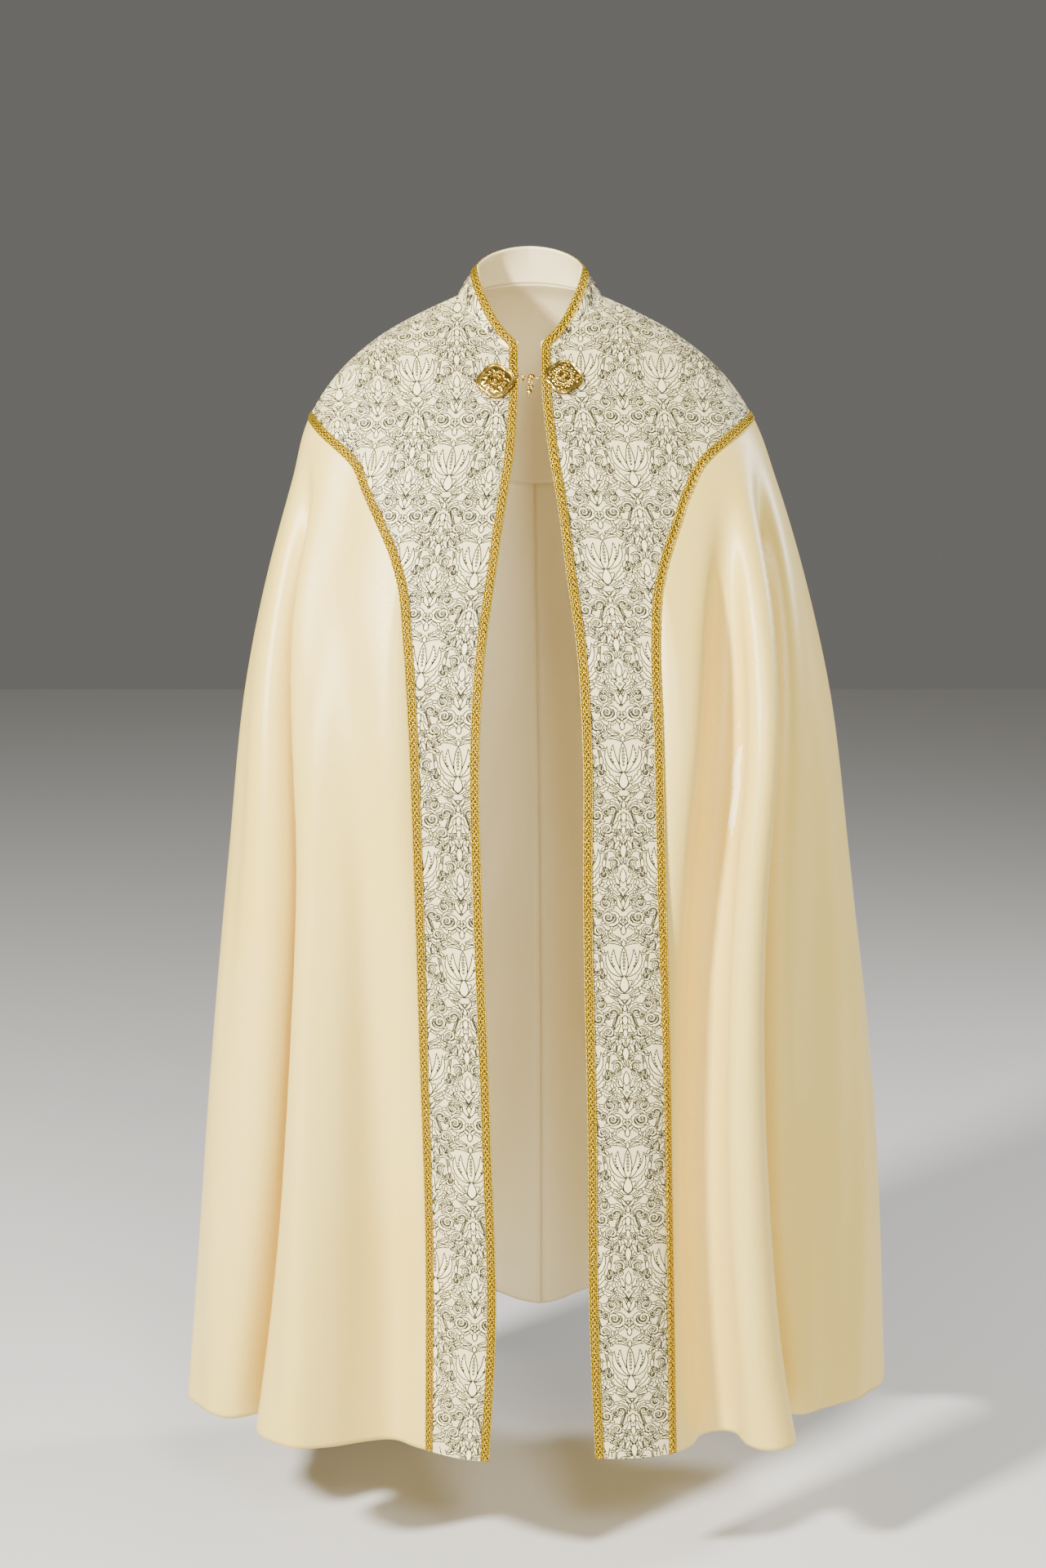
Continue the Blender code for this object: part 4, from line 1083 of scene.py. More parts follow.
collarCloth = {
    "shape": (
        # angle from the front, height, how far the top leans in
        (9.0, 0.0120, 0.0020),
        (22.0, 0.0180, 0.0060),
        (48.0, 0.0300, 0.0150),
        (90.0, 0.0380, 0.0250),
        (135.0, 0.0440, 0.0220),
        (180.0, 0.0450, 0.0160),
    ),
    "columns": 120,
    "rows": 14,
    "leanPower": 1.3,
    "flat": (0.47, 0.046),
    "motifDown": 0.024,
    "threadsFromSeam": 0.03,
    "threadsFromTop": 0.010,
    "threadsFromFront": 0.009,
}


def collarPoint(side, around, share):
    # a point of the collar: round the neck, and up from its seam (0) to its top edge (1)
    around, share = np.broadcast_arrays(np.asarray(around, float), np.asarray(share, float))
    none = np.zeros(around.shape)
    foot = clothPoint(side, around, none)
    angle = np.degrees(angleAt(side, around, none))
    high = curveThrough(collarCloth["shape"], 1, angle) * share
    lean = curveThrough(collarCloth["shape"], 2, angle) * share ** collarCloth["leanPower"]
    outward = unitOf(foot * (1.0, 1.0, 0.0))
    return foot + high[..., None] * np.array((0.0, 0.0, 1.0)) - lean[..., None] * outward


def collarFrame(side, around, share):
    # a point of the collar, and the way that it faces there
    step = 1e-3
    low, high = np.clip(around - step, 0, 1), np.clip(around + step, 0, 1)
    byRound = collarPoint(side, high, share) - collarPoint(side, low, share)
    byUp = collarPoint(side, around, share + 0.02) - collarPoint(side, around, share - 0.02)
    return collarPoint(side, around, share), side * unitOf(np.cross(byRound, byUp))


def collarHeight(side, around):
    # how high the collar stands at these places
    angle = np.degrees(angleAt(side, around, 0.0 * around))
    return curveThrough(collarCloth["shape"], 1, angle)


def collarRun(side):
    # lengths along the collar's seam from the middle of the back, and its heights, at these places
    around = np.linspace(1.0, 0.0, 241)
    foot = clothPoint(side, around, 0.0 * around)
    return around, runAlong(foot), collarHeight(side, around)


def makeCollar(material, lining):
    around = np.linspace(0.0, 1.0, collarCloth["columns"] + 1)[None, :]
    share = np.linspace(0.0, 1.0, collarCloth["rows"] + 1)[:, None]
    halves, flats = [], []
    for side in (-1, 1):
        halves.append(collarPoint(side, around, share))
        known, run, height = collarRun(side)
        x = side * np.interp(around, known[::-1], run[::-1]) + 0.0 * share
        y = np.interp(around, known[::-1], height[::-1]) * share - collarCloth["motifDown"]
        flats.append(np.stack([x, y], -1))
    piece = makeOverBack("collar_cloth", halves, flats, material, lining, flip=True)
    dressed(piece, "collar")


def layOnCollar(side, x, y):
    known, run, height = collarRun(side)
    y = y + collarCloth["motifDown"]
    around, height = np.interp(x, run, known), np.interp(x, run, height)
    share = y / height
    real = (share > collarCloth["threadsFromSeam"]) & (y < height - collarCloth["threadsFromTop"])
    real &= x < run[-1] - collarCloth["threadsFromFront"]
    return real, collarFrame(side, around[real], share[real])


braidTrim = {
    "Sway": 0.0031,
    "Repeat": 0.0235,
    "Rise": 0.00045,
    "Strand Width": 0.0030,
    "Strand Thickness": 0.0011,
    "Cord Offset": 0.0048,
    "Cord Radius": 0.00075,
    "Lift": 0.0010,
    "steps": 15,
    "strandSides": 4,
    "fromEdge": 0.0055,
    "cornerSoft": 0.0050,
    "pathStep": 0.001,
    "groundStep": 0.004,
    "groundThick": 0.00035,
    "groundLift": 0.00042,
    "strandTwist": 0.0032,
    "cordTwist": 0.0021,
    "cordWide": 2.2,
    "cordLift": 0.85,
    "scallop": 0.00032,
    "scallops": 3.0,
    # the ground strip's ply value paints it the darkest gold: painted shade between the strands
    "groundPly": -0.25,
    "edgeTop": 0.004,
    "edgeSteps": 500,
    "rimSteps": 160,
    "seamSteps": (160, 320),
    "backSteps": 160,
    "softPoints": 30,
    "softReach": 2.5,
}


def braidTree():
    # three plaited strands between two edge cords, on a thin ground strip, along a guide line
    tree = bpy.data.node_groups.new("plaited gold braid", "GeometryNodeTree")
    tree.interface.new_socket(name="Guide", in_out="INPUT", socket_type="NodeSocketGeometry")
    for name in braidTrim:
        if name[0].isupper():
            socket = tree.interface.new_socket(name=name, in_out="INPUT", socket_type="NodeSocketFloat")
            socket.default_value = braidTrim[name]
    tree.interface.new_socket(name="Gold", in_out="INPUT", socket_type="NodeSocketMaterial")
    tree.interface.new_socket(name="Braid", in_out="OUTPUT", socket_type="NodeSocketGeometry")

    def node(kind, inputs=None, **settings):
        return addNode(tree, kind, inputs, **settings).outputs[0]

    def marked(geometry, name, value):
        inputs = {"Geometry": geometry, "Name": name, "Value": value}
        return node("GeometryNodeStoreNamedAttribute", inputs, data_type="FLOAT")

    given = addNode(tree, "NodeGroupInput").outputs
    guide = node("GeometryNodeMeshToCurve", {0: given["Guide"]})
    upNode = addNode(tree, "GeometryNodeInputNamedAttribute", {"Name": "up"}, data_type="FLOAT_VECTOR")
    up = next(s for s in upNode.outputs if s.type == "VECTOR")
    tangent = node("GeometryNodeInputTangent")
    across = vectorSum(tree, "NORMALIZE", vectorSum(tree, "CROSS_PRODUCT", tangent, up))
    run = addNode(tree, "GeometryNodeSplineParameter").outputs["Length"]
    turns = product(tree, compute(tree, "DIVIDE", run, given["Repeat"]), 2 * math.pi)
    step = compute(tree, "DIVIDE", given["Repeat"], braidTrim["steps"])
    line, rough = (
        node("GeometryNodeResampleCurve", {"Curve": guide, "Length": length}, mode="LENGTH")
        for length in (step, braidTrim["groundStep"])
    )

    def strand(path, aside, height, profile, ply):
        sideways = vectorSum(tree, "SCALE", across, aside)
        shift = vectorSum(tree, "ADD", sideways, vectorSum(tree, "SCALE", up, height))
        moved = node("GeometryNodeSetPosition", {"Geometry": path, "Offset": shift})
        faced = node("GeometryNodeSetCurveNormal", {"Curve": moved, "Normal": up}, mode="FREE")
        made = {"Curve": marked(faced, "ply", ply), "Profile Curve": profile, "Fill Caps": True}
        return node("GeometryNodeCurveToMesh", made)

    def profile(sides, thick, wide):
        ring = node("GeometryNodeCurvePrimitiveCircle", {"Resolution": sides, "Radius": 0.5})
        turn = addNode(tree, "GeometryNodeSplineParameter").outputs["Factor"]
        size = node("ShaderNodeCombineXYZ", {"X": thick, "Y": wide, "Z": 1.0})
        around = marked(ring, "turn", turn)
        inputs = {"Geometry": around, "Rotation": (0.0, 0.0, math.pi), "Scale": size}
        return node("GeometryNodeTransform", inputs)

    parts = []
    flat = profile(braidTrim["strandSides"], given["Strand Thickness"], given["Strand Width"])
    ply = compute(tree, "DIVIDE", run, braidTrim["strandTwist"])
    for number in range(3):
        phase = total(tree, turns, number * 2 * math.pi / 3)
        aside = product(tree, compute(tree, "COSINE", phase), given["Sway"])
        rise = product(tree, compute(tree, "SINE", product(tree, phase, 2.0)), given["Rise"])
        parts.append(strand(line, aside, total(tree, rise, given["Lift"]), flat, ply))
    wide = product(tree, given["Cord Radius"], braidTrim["cordWide"])
    cord = profile(3, wide, wide)
    ply = compute(tree, "DIVIDE", run, braidTrim["cordTwist"])
    for way, phase in ((-1.0, math.pi), (1.0, 0.0)):
        around = product(tree, turns, braidTrim["scallops"])
        scallop = compute(tree, "COSINE", total(tree, around, phase))
        offset = total(tree, given["Cord Offset"], product(tree, scallop, braidTrim["scallop"]))
        height = product(tree, given["Lift"], braidTrim["cordLift"])
        parts.append(strand(line, product(tree, offset, way), height, cord, ply))
    size = {"Width": braidTrim["groundThick"], "Height": product(tree, given["Cord Offset"], 2.0)}
    ground = node("GeometryNodeCurvePrimitiveQuadrilateral", size, mode="RECTANGLE")
    # the ground strip between the strands is painted the darkest gold as painted shade
    parts.append(strand(rough, 0.0, braidTrim["groundLift"], ground, braidTrim["groundPly"]))
    joined = addNode(tree, "GeometryNodeJoinGeometry")
    for part in parts:
        tree.links.new(part, joined.inputs[0])
    smooth = node("GeometryNodeSetShadeSmooth", {"Geometry": joined.outputs[0]})
    real = node("GeometryNodeRealizeInstances", {"Geometry": smooth})
    gilt = node("GeometryNodeSetMaterial", {"Geometry": real, "Material": given["Gold"]})
    addNode(tree, "NodeGroupOutput", {0: gilt})
    return tree


def plainMesh(name, holder):
    # the mesh that a piece's modifiers make, as a plain piece of its own
    shown = holder.evaluated_get(bpy.context.evaluated_depsgraph_get())
    mesh = bpy.data.meshes.new_from_object(shown)
    mesh.name = name
    bpy.data.objects.remove(holder)
    made = bpy.data.objects.new(name, mesh)
    scene.collection.objects.link(made)
    return made


def collarRim(side, around):
    # the middle of the edge braid on the collar
    return collarFrame(side, around, 1.0 - braidTrim["fromEdge"] / collarHeight(side, around))


def evenly(points, ups):
    # a path and its outward directions, in even steps
    run = runAlong(points)
    at = np.linspace(0.0, run[-1], int(run[-1] / braidTrim["pathStep"]) + 1)
    places, ways = (
        np.stack([np.interp(at, run, values[:, n]) for n in range(3)], -1) for values in (points, ups)
    )
    return places, unitOf(ways)


def softened(points, ups, corner, reach):
    # rounds the path where two runs of braid meet
    near, count = np.linalg.norm(points - corner, axis=1), braidTrim["softPoints"]
    part = np.exp(-((near / (braidTrim["softReach"] * reach)) ** 2))[:, None]
    spread = np.arange(-count, count + 1) * braidTrim["pathStep"]
    weights = np.exp(-0.5 * (spread / reach) ** 2)
    weights /= weights.sum()
    mixed = []
    for values in (points, ups):
        wide = np.pad(values, ((count, count), (0, 0)), "edge")
        soft = np.stack([np.convolve(wide[:, n], weights, "valid") for n in range(3)], -1)
        mixed.append(values + (soft - values) * part)
    return mixed[0], unitOf(mixed[1])


def edgeBraidPath(side):
    down = np.linspace(1.0, braidTrim["edgeTop"], braidTrim["edgeSteps"])
    edge, flank, _ = formLengths(side, down)
    front = onCloth(side, 0.5 * braidTrim["fromEdge"] / (flank - edge), down)
    edge, flank, _ = formLengths(side, np.zeros(1))
    start = 0.5 * braidTrim["fromEdge"] / (flank[0] - edge[0])
    around = np.linspace(start, 1.0, braidTrim["rimSteps"])
    rim = collarRim(side, around)
    path = evenly(*(np.concatenate(pair) for pair in zip(front, rim)))
    return softened(*path, rim[0][0], braidTrim["cornerSoft"])


def seamBraidPath(side):
    seamRound, seamDown = seamPath(side, *braidTrim["seamSteps"])
    backRound, backDown = backPath(braidTrim["backSteps"])
    around = np.concatenate([seamRound[::-1], backRound[1:]])
    down = np.concatenate([seamDown[::-1], backDown[1:]])
    path = evenly(*onCloth(side, around, down))
    return softened(*path, onCloth(side, 0.5, copeForm["tipDown"])[0], 2 * braidTrim["cornerSoft"])


def makeBraid(name, path, tree, material, node):
    points, ups = path
    mesh = bpy.data.meshes.new(name)
    mesh.from_pydata(points.tolist(), [(n, n + 1) for n in range(len(points) - 1)], [])
    layer = mesh.attributes.new("up", "FLOAT_VECTOR", "POINT")
    layer.data.foreach_set("vector", np.asarray(ups, np.float32).ravel())
    holder = bpy.data.objects.new(name, mesh)
    scene.collection.objects.link(holder)
    plait = holder.modifiers.new("plaited braid", "NODES")
    plait.node_group = tree
    for item in tree.interface.items_tree:
        if item.in_out == "INPUT" and item.name in braidTrim:
            plait[item.identifier] = braidTrim[item.name]
        elif item.in_out == "INPUT" and item.name == "Gold":
            plait[item.identifier] = material
    dressed(plainMesh(name, holder), node)


clasp = {
    "plates": (
        # side, around, down, half size, turn in degrees, boss
        (-1, 0.0640, 0.0530, 0.0240, 6.0, 0.0074),
        (1, 0.0660, 0.0490, 0.0235, -8.0, 0.0060),
    ),
    "lobeAway": 0.32,
    "lobeSize": 0.68,
    "ringPower": 0.92,
    "undercut": 0.985,
    "rimSoft": 0.0007,
    "rimLow": 0.35,
    "recessRounds": 14,
    "recessDeep": 0.00022,
    "plateLift": 0.0018,
    "linkLift": 0.0022,
    "rings": 52,
    "segments": 192,
    "ringAt": -0.0110,
    "ringRadius": 0.0042,
    "wire": 0.0010,
    "swing": 7.0,
    "dropAt": 0.0020,
}


def bump(distance, wide):
    # a soft raised line or dot: 1 in its middle, and gone at about twice its width
    return np.exp(-((distance / wide) ** 2))


def cornerPlaces(x, y, corner):
    # a place on a plate as seen from one of its corners: out along it, and across it
    angle = corner * math.pi / 2
    return x * math.cos(angle) + y * math.sin(angle), y * math.cos(angle) - x * math.sin(angle)


def leafyRelief(x, y, edge, boss):
    # a rope rim, a palmette in each corner, buds and pierced hollows between, and a ringed cone
    r, angle = np.hypot(x, y), np.arctan2(y, x)
    high = 0.0012 + 0.0010 * bump(r, 0.018)
    rope = 0.80 + 0.20 * np.cos(64 * angle + edge * 2500)
    high = high + 0.0014 * bump(edge - 0.0012, 0.0008) * rope
    high = high + 0.0006 * bump(edge - 0.0032, 0.0005)
    for corner in range(4):
        out, aside = cornerPlaces(x, y, corner)
        q = np.hypot(out - 0.0090, aside)
        fan = np.arctan2(aside, out - 0.0090)
        petals = np.abs(np.cos(2.6 * fan)) ** 0.6 * (np.abs(fan) < 1.75)
        high = high + 0.0016 * petals * np.sin(math.pi * np.clip(q / 0.0090, 0, 1)) ** 0.8
        for way in (-1, 1):
            curl = np.hypot(out - 0.0098, aside - way * 0.0066)
            high = high + 0.0010 * bump(curl - 0.0019, 0.0006) - 0.0008 * bump(curl, 0.0010)
        out, aside = cornerPlaces(x, y, corner + 0.5)
        high = high + 0.0014 * bump(np.hypot(out - 0.0138, aside), 0.0015)
        high = high - 0.0012 * bump(np.hypot(out - 0.0104, aside), 0.0012)
    high = high - 0.0010 * bump(r - 1.22 * boss, 0.0008)
    high = high + 0.0006 * np.cos(12 * angle) * bump(r - 1.05 * boss, 0.0009)
    high = high + 0.0016 * bump(r - 0.86 * boss, 0.0009) - 0.0006 * bump(r - 0.66 * boss, 0.0006)
    cone = 0.0036 * np.clip(1.0 - r / (0.62 * boss), 0, 1) ** 0.8
    return high + cone - 0.0012 * bump(r, 0.0009)


def studdedRelief(x, y, edge, boss):
    # two fine rim lines, a beaded ring, a ringed boss and a leafy stud towards each corner
    r, angle = np.hypot(x, y), np.arctan2(y, x)
    high = 0.0016 + 0.0010 * bump(r, 0.020)
    high = high + 0.0009 * bump(edge - 0.0009, 0.0006) + 0.0006 * bump(edge - 0.0026, 0.0004)
    high = high + 0.0006 * (0.5 + 0.5 * np.cos(30 * angle)) * bump(r - 1.62 * boss, 0.0006)
    high = high + 0.0003 * np.cos(16 * angle) * bump(r - 1.36 * boss, 0.0009)
    for corner in range(4):
        out, aside = cornerPlaces(x, y, corner)
        q = np.hypot(out - 0.0158, aside)
        fan = np.arctan2(aside, out - 0.0158)
        high = high - 0.0013 * bump(q - 0.0029, 0.0007) * (0.65 + 0.35 * np.cos(3 * fan))
        high = high + 0.0019 * np.sqrt(np.clip(1.0 - (q / 0.0021) ** 2, 0, 1))
        high = high + 0.0007 * np.abs(np.cos(2.5 * fan)) * bump(q - 0.0042, 0.0008)
        out, aside = cornerPlaces(x, y, corner + 0.5)
        for way in (-1, 1):
            curl = np.hypot(out - 0.0128, aside - way * 0.0026)
            high = high + 0.0005 * bump(curl - 0.0017, 0.0005)
    high = high + 0.0013 * bump(r - 0.94 * boss, 0.0008) - 0.0007 * bump(r - 0.70 * boss, 0.0006)
    high = high + 0.0022 * np.sqrt(np.clip(1.0 - (r / (0.50 * boss)) ** 2, 0, 1))
    return high - 0.0016 * bump(r, 0.0008)


def claspFrame(point, normal, turn=0.0):
    # Z outwards from the cloth and X towards the left side
    out = Vector(normal).normalized()
    across = Vector((1.0, 0.0, 0.0))
    across = (across - out * across.dot(out)).normalized()
    straight = Matrix((across, out.cross(across), out)).transposed().to_4x4()
    turned = straight @ Matrix.Rotation(math.radians(turn), 4, "Z")
    turned.translation = Vector(point)
    return turned


def placed(points, frame):
    matrix = np.array(frame)
    return points @ matrix[:3, :3].T + matrix[:3, 3]


def makePlate(side, frame, halfSize, boss, material):
    rings, segments = clasp["rings"], clasp["segments"]
    angle = np.linspace(0.0, 2 * math.pi, segments, endpoint=False)[None, :]
    lobe = (angle + math.pi / 4) % (math.pi / 2) - math.pi / 4
    away, lobeRadius = clasp["lobeAway"] * halfSize, clasp["lobeSize"] * halfSize
    reach = away * np.cos(lobe) + np.sqrt(lobeRadius**2 - (away * np.sin(lobe)) ** 2)
    share = np.linspace(0.0, 1.0, rings + 1)[1:, None] ** clasp["ringPower"]
    x, y = share * reach * np.cos(angle), share * reach * np.sin(angle)
    edge = (1.0 - share) * reach
    high = (leafyRelief if side < 0 else studdedRelief)(x, y, edge, boss)
    low = clasp["rimLow"]
    high = high * (low + (1.0 - low) * np.clip(edge / clasp["rimSoft"], 0.0, 1.0))
    soft = high.copy()
    for _ in range(clasp["recessRounds"]):
        wide = np.concatenate([soft[:1], soft, soft[-1:]])
        soft = (wide[:-2] + wide[2:] + np.roll(soft, 1, 1) + np.roll(soft, -1, 1)) / 4
    recess = np.clip((soft - high) / clasp["recessDeep"], 0.0, 1.0)
    top = np.stack([x, y, high], -1).reshape(-1, 3)
    last = top[-segments:] * (clasp["undercut"], clasp["undercut"], 0.0)
    centres = [(0.0, 0.0, float(high[0].mean())), (0.0, 0.0, 0.0)]
    points = placed(np.concatenate([top, last, centres]), frame)
    around = [(n, (n + 1) % segments) for n in range(segments)]
    faces = []
    for row in range(rings):
        a, b = row * segments, (row + 1) * segments
        faces += [(a + n, b + n, b + m, a + m) for n, m in around]
    middle, back, first = len(points) - 2, len(points) - 1, rings * segments
    faces += [(middle, n, m) for n, m in around]
    faces += [(back, first + m, first + n) for n, m in around]
    node = "clasp_plate_" + sideNames[side]
    piece = meshPiece(node + "_chased", points, faces, material, normalsOut=True)
    keepValues(piece, "recess", np.concatenate([recess.ravel(), np.zeros(segments + 2)]))
    dressed(piece, node)


def tubeShell(path, radius, sides=12, closed=False):
    # a round wire along a path, of one radius or of one at each point
    path = np.array(path, float)
    radius = np.broadcast_to(np.asarray(radius, float), (len(path),))
    ahead = np.roll(path, -1, 0) - np.roll(path, 1, 0) if closed else np.gradient(path, axis=0)
    ahead = unitOf(ahead)
    first = unitOf(np.cross(ahead, np.array((0.12, 0.21, 0.97))))
    second = np.cross(ahead, first)
    turn = np.linspace(0.0, 2 * math.pi, sides, endpoint=False)[None, :, None]
    spokes = first[:, None] * np.cos(turn) + second[:, None] * np.sin(turn)
    rows = path[:, None] + radius[:, None, None] * spokes
    count, faces = len(path), []
    for row in range(count if closed else count - 1):
        a, b = row * sides, (row + 1) % count * sides
        faces += [(a + n, a + (n + 1) % sides, b + (n + 1) % sides, b + n) for n in range(sides)]
    if not closed:
        faces += [tuple(range(sides)), tuple((count - 1) * sides + n for n in range(sides))]
    return rows.reshape(-1, 3), faces


def ballShell(centre, radii, sides=16):
    # a bead: a wire whose radius swells and shrinks, set along the drop
    t = np.linspace(0.001, math.pi - 0.001, sides)
    path = np.stack([0 * t, np.cos(t), 0 * t], -1)
    points, faces = tubeShell(path, np.sin(t), sides)
    return points * radii + centre, faces


def ringShell(centre, radii, wire, tilt=0.0, count=36):
    t = np.linspace(0.0, 2 * math.pi, count, endpoint=False)
    across, along = radii[0] * np.cos(t), radii[1] * np.sin(t)
    path = np.stack([across, along * math.cos(tilt), along * math.sin(tilt)], -1)
    return tubeShell(path + centre, wire, 10, closed=True)


def shellsPiece(name, shells, frame, material, node):
    points, faces, first = [], [], 0
    for shellPoints, shellFaces in shells:
        points.append(shellPoints)
        faces += [tuple(first + n for n in face) for face in shellFaces]
        first += len(shellPoints)
    points = placed(np.concatenate(points), frame)
    piece = meshPiece(name, points, faces, material, normalsOut=True, smoothAngle=60)
    dressed(piece, node)


def makeClasp(material):
    frames = {}
    for side, around, down, halfSize, turn, boss in clasp["plates"]:
        point, normal = onCloth(side, np.array([around]), np.array([down]))
        frames[side] = claspFrame(point[0] + normal[0] * clasp["plateLift"], normal[0], turn)
        makePlate(side, frames[side], halfSize, boss, material)
    middle = (frames[-1].translation + frames[1].translation) / 2
    outward = frames[-1].to_3x3().col[2] + frames[1].to_3x3().col[2]
    centre = claspFrame((0.0, middle.y, middle.z), outward)
    centre.translation = centre.translation + outward.normalized() * clasp["linkLift"]
    at, size, wire = clasp["ringAt"], clasp["ringRadius"], clasp["wire"]
    rings = [
        ringShell((at, 0.0, 0.0), (size, size), wire),
        ringShell((at - size - 0.0012, 0.0, 0.0), (0.0019, 0.0019), 0.0007, tilt=math.radians(80)),
    ]
    shellsPiece("clasp_ring_wire", rings, centre, material, "clasp_ring")
    shank = [(0.0036, 0, 0), (0.0090, 0.0002, 0), (0.0140, 0.0002, 0), (0.0166, 0.0, 0)]
    crook = [
        (0.0000, -0.0006, 0.0), (-0.0030, -0.0006, 0.0014), (-0.0056, -0.0004, 0.0024),
        (-0.0080, 0.0, 0.0020), (-0.0088, 0.0002, 0.0002), (-0.0080, 0.0004, -0.0012),
    ]
    hook = [
        tubeShell(shank, [0.0015, 0.0011, 0.0011, 0.0014]),
        ringShell((0.0172, 0.0, 0.0), (0.0018, 0.0018), 0.0007, tilt=math.radians(80)),
        ballShell((0.0026, 0.0014, 0.0003), (0.0044, 0.0033, 0.0036)),
        ringShell((0.0026, 0.0014, 0.0003), (0.0036, 0.0027), 0.0009, tilt=0.5),
        ballShell((0.0006, -0.0022, 0.0004), (0.0030, 0.0025, 0.0030)),
        ringShell((0.0050, -0.0002, 0.0), (0.0018, 0.0018), 0.0007, tilt=math.radians(85)),
        tubeShell(crook, [0.0013, 0.0012, 0.0011, 0.0010, 0.0009, 0.0005]),
    ]
    shellsPiece("clasp_hook_and_knot", hook, centre, material, "clasp_hook")
    drop = [
        ringShell((0.0, -0.0062, 0.0), (0.0018, 0.0024), 0.0007, tilt=0.35),
        ballShell((0.0, -0.0096, 0.0), (0.0020, 0.0014, 0.0020)),
        ballShell((-0.0021, -0.0122, 0.0004), (0.0024, 0.0026, 0.0022)),
        ballShell((0.0021, -0.0122, 0.0004), (0.0024, 0.0026, 0.0022)),
        ringShell((0.0, -0.0150, 0.0006), (0.0024, 0.0013), 0.0006, tilt=0.2),
        ballShell((0.0, -0.0184, 0.0), (0.0035, 0.0044, 0.0028)),
        ringShell((0.0, -0.0184, 0.0014), (0.0023, 0.0030), 0.0007, tilt=0.1),
        ballShell((0.0, -0.0184, 0.0022), (0.0011, 0.0014, 0.0012)),
        ballShell((0.0, -0.0234, 0.0), (0.0012, 0.0011, 0.0012)),
    ]
    swing = Matrix.Rotation(math.radians(-clasp["swing"]), 4, "Z")
    swing = Matrix.Translation((clasp["dropAt"], 0.0, 0.0)) @ swing
    shellsPiece("clasp_pendant_drop", drop, centre @ swing, material, "clasp_pendant")


finish = {
    "cream": (0.81, 0.600, 0.128, 1.0),
    "creamPale": (0.83, 0.640, 0.175, 1.0),
    "creamThin": (0.67, 0.45, 0.062, 1.0),
    "lining": (0.93, 0.80, 0.46, 1.0),
    "liningPale": (0.95, 0.84, 0.54, 1.0),
    "liningThin": (0.80, 0.62, 0.28, 1.0),
    "sheen": (1.0, 0.90, 0.70, 1.0),
    "leaf": (0.99, 0.89, 0.47, 1.0),
    "leafDull": (0.86, 0.75, 0.46, 1.0),
    "ground": (0.93, 0.81, 0.43, 1.0),
    "groundDull": (0.56, 0.47, 0.27, 1.0),
    "outline": (0.030, 0.027, 0.012, 1.0),
    "outlineGlint": (0.09, 0.075, 0.035, 1.0),
    "goldThread": (0.86, 0.60, 0.022, 1.0),
    # the dark gold of the braid's grooves and ground strip is painted shade
    "goldPaintedShade": (0.22, 0.125, 0.005, 1.0),
    "brass": (0.76, 0.53, 0.11, 1.0),
    "brassDark": (0.10, 0.06, 0.008, 1.0),
}


def objectPlace(tree):
    return addNode(tree, "ShaderNodeTexCoord").outputs["Object"]


def clothPlace(tree):
    return addNode(tree, "ShaderNodeUVMap", uv_map="cloth").outputs[0]


def keptValue(tree, name):
    return addNode(tree, "ShaderNodeAttribute", attribute_name=name).outputs["Fac"]


def noiseAt(tree, place, scale, detail=2.0):
    inputs = {"Vector": place, "Scale": scale, "Detail": detail, "Roughness": 0.5}
    return addNode(tree, "ShaderNodeTexNoise", inputs).outputs[0]


def grainAt(tree, cloth, scale, detail):
    # noise drawn out along the cloth's threads
    place = addNode(tree, "ShaderNodeMapping", {"Vector": cloth, "Scale": scale}).outputs[0]
    return noiseAt(tree, place, 1.0, detail)


def threadsAt(tree, cloth, scale, uneven, way):
    # the cloth's own threads, across it (Y) or down it (X)
    inputs = {"Vector": cloth, "Scale": scale, "Distortion": uneven, "Detail": 1.0}
    return addNode(tree, "ShaderNodeTexWave", inputs, bands_direction=way).outputs[1]


def raised(tree, height, strength, distance):
    inputs = {"Height": height, "Strength": strength, "Distance": distance}
    return addNode(tree, "ShaderNodeBump", inputs).outputs[0]


def satinMaterial(name, main, pale, thin):
    # heavy satin: fine cross grain, a soft sheen and slight unevenness of the dye
    made, tree = newMaterial(name)
    cloth = clothPlace(tree)
    uneven = noiseAt(tree, objectPlace(tree), 3.2, 3.0)
    fibre = grainAt(tree, cloth, (900.0, 260.0, 1.0), 1.0)
    slub = grainAt(tree, cloth, (60.0, 700.0, 1.0), 2.0)
    weft = threadsAt(tree, cloth, 420.0, 1.5, "Y")
    colour = mixedColour(tree, fromTo(tree, uneven, 0.3, 0.7), finish[main], finish[pale])
    height = total(tree, product(tree, weft, 0.4), total(tree, fibre, slub))
    worn = fromTo(tree, fibre, 0.35, 0.75, 0.0, 0.16)
    return finished(made, {
        "Base Color": mixedColour(tree, worn, colour, finish[thin]),
        "Roughness": fromTo(tree, fibre, 0.3, 0.7, 0.36, 0.46),
        "Specular IOR Level": 0.7,
        "Sheen Weight": 0.15,
        "Sheen Roughness": 0.5,
        "Sheen Tint": finish["sheen"],
        "Normal": raised(tree, height, 0.22, 0.0004),
    })


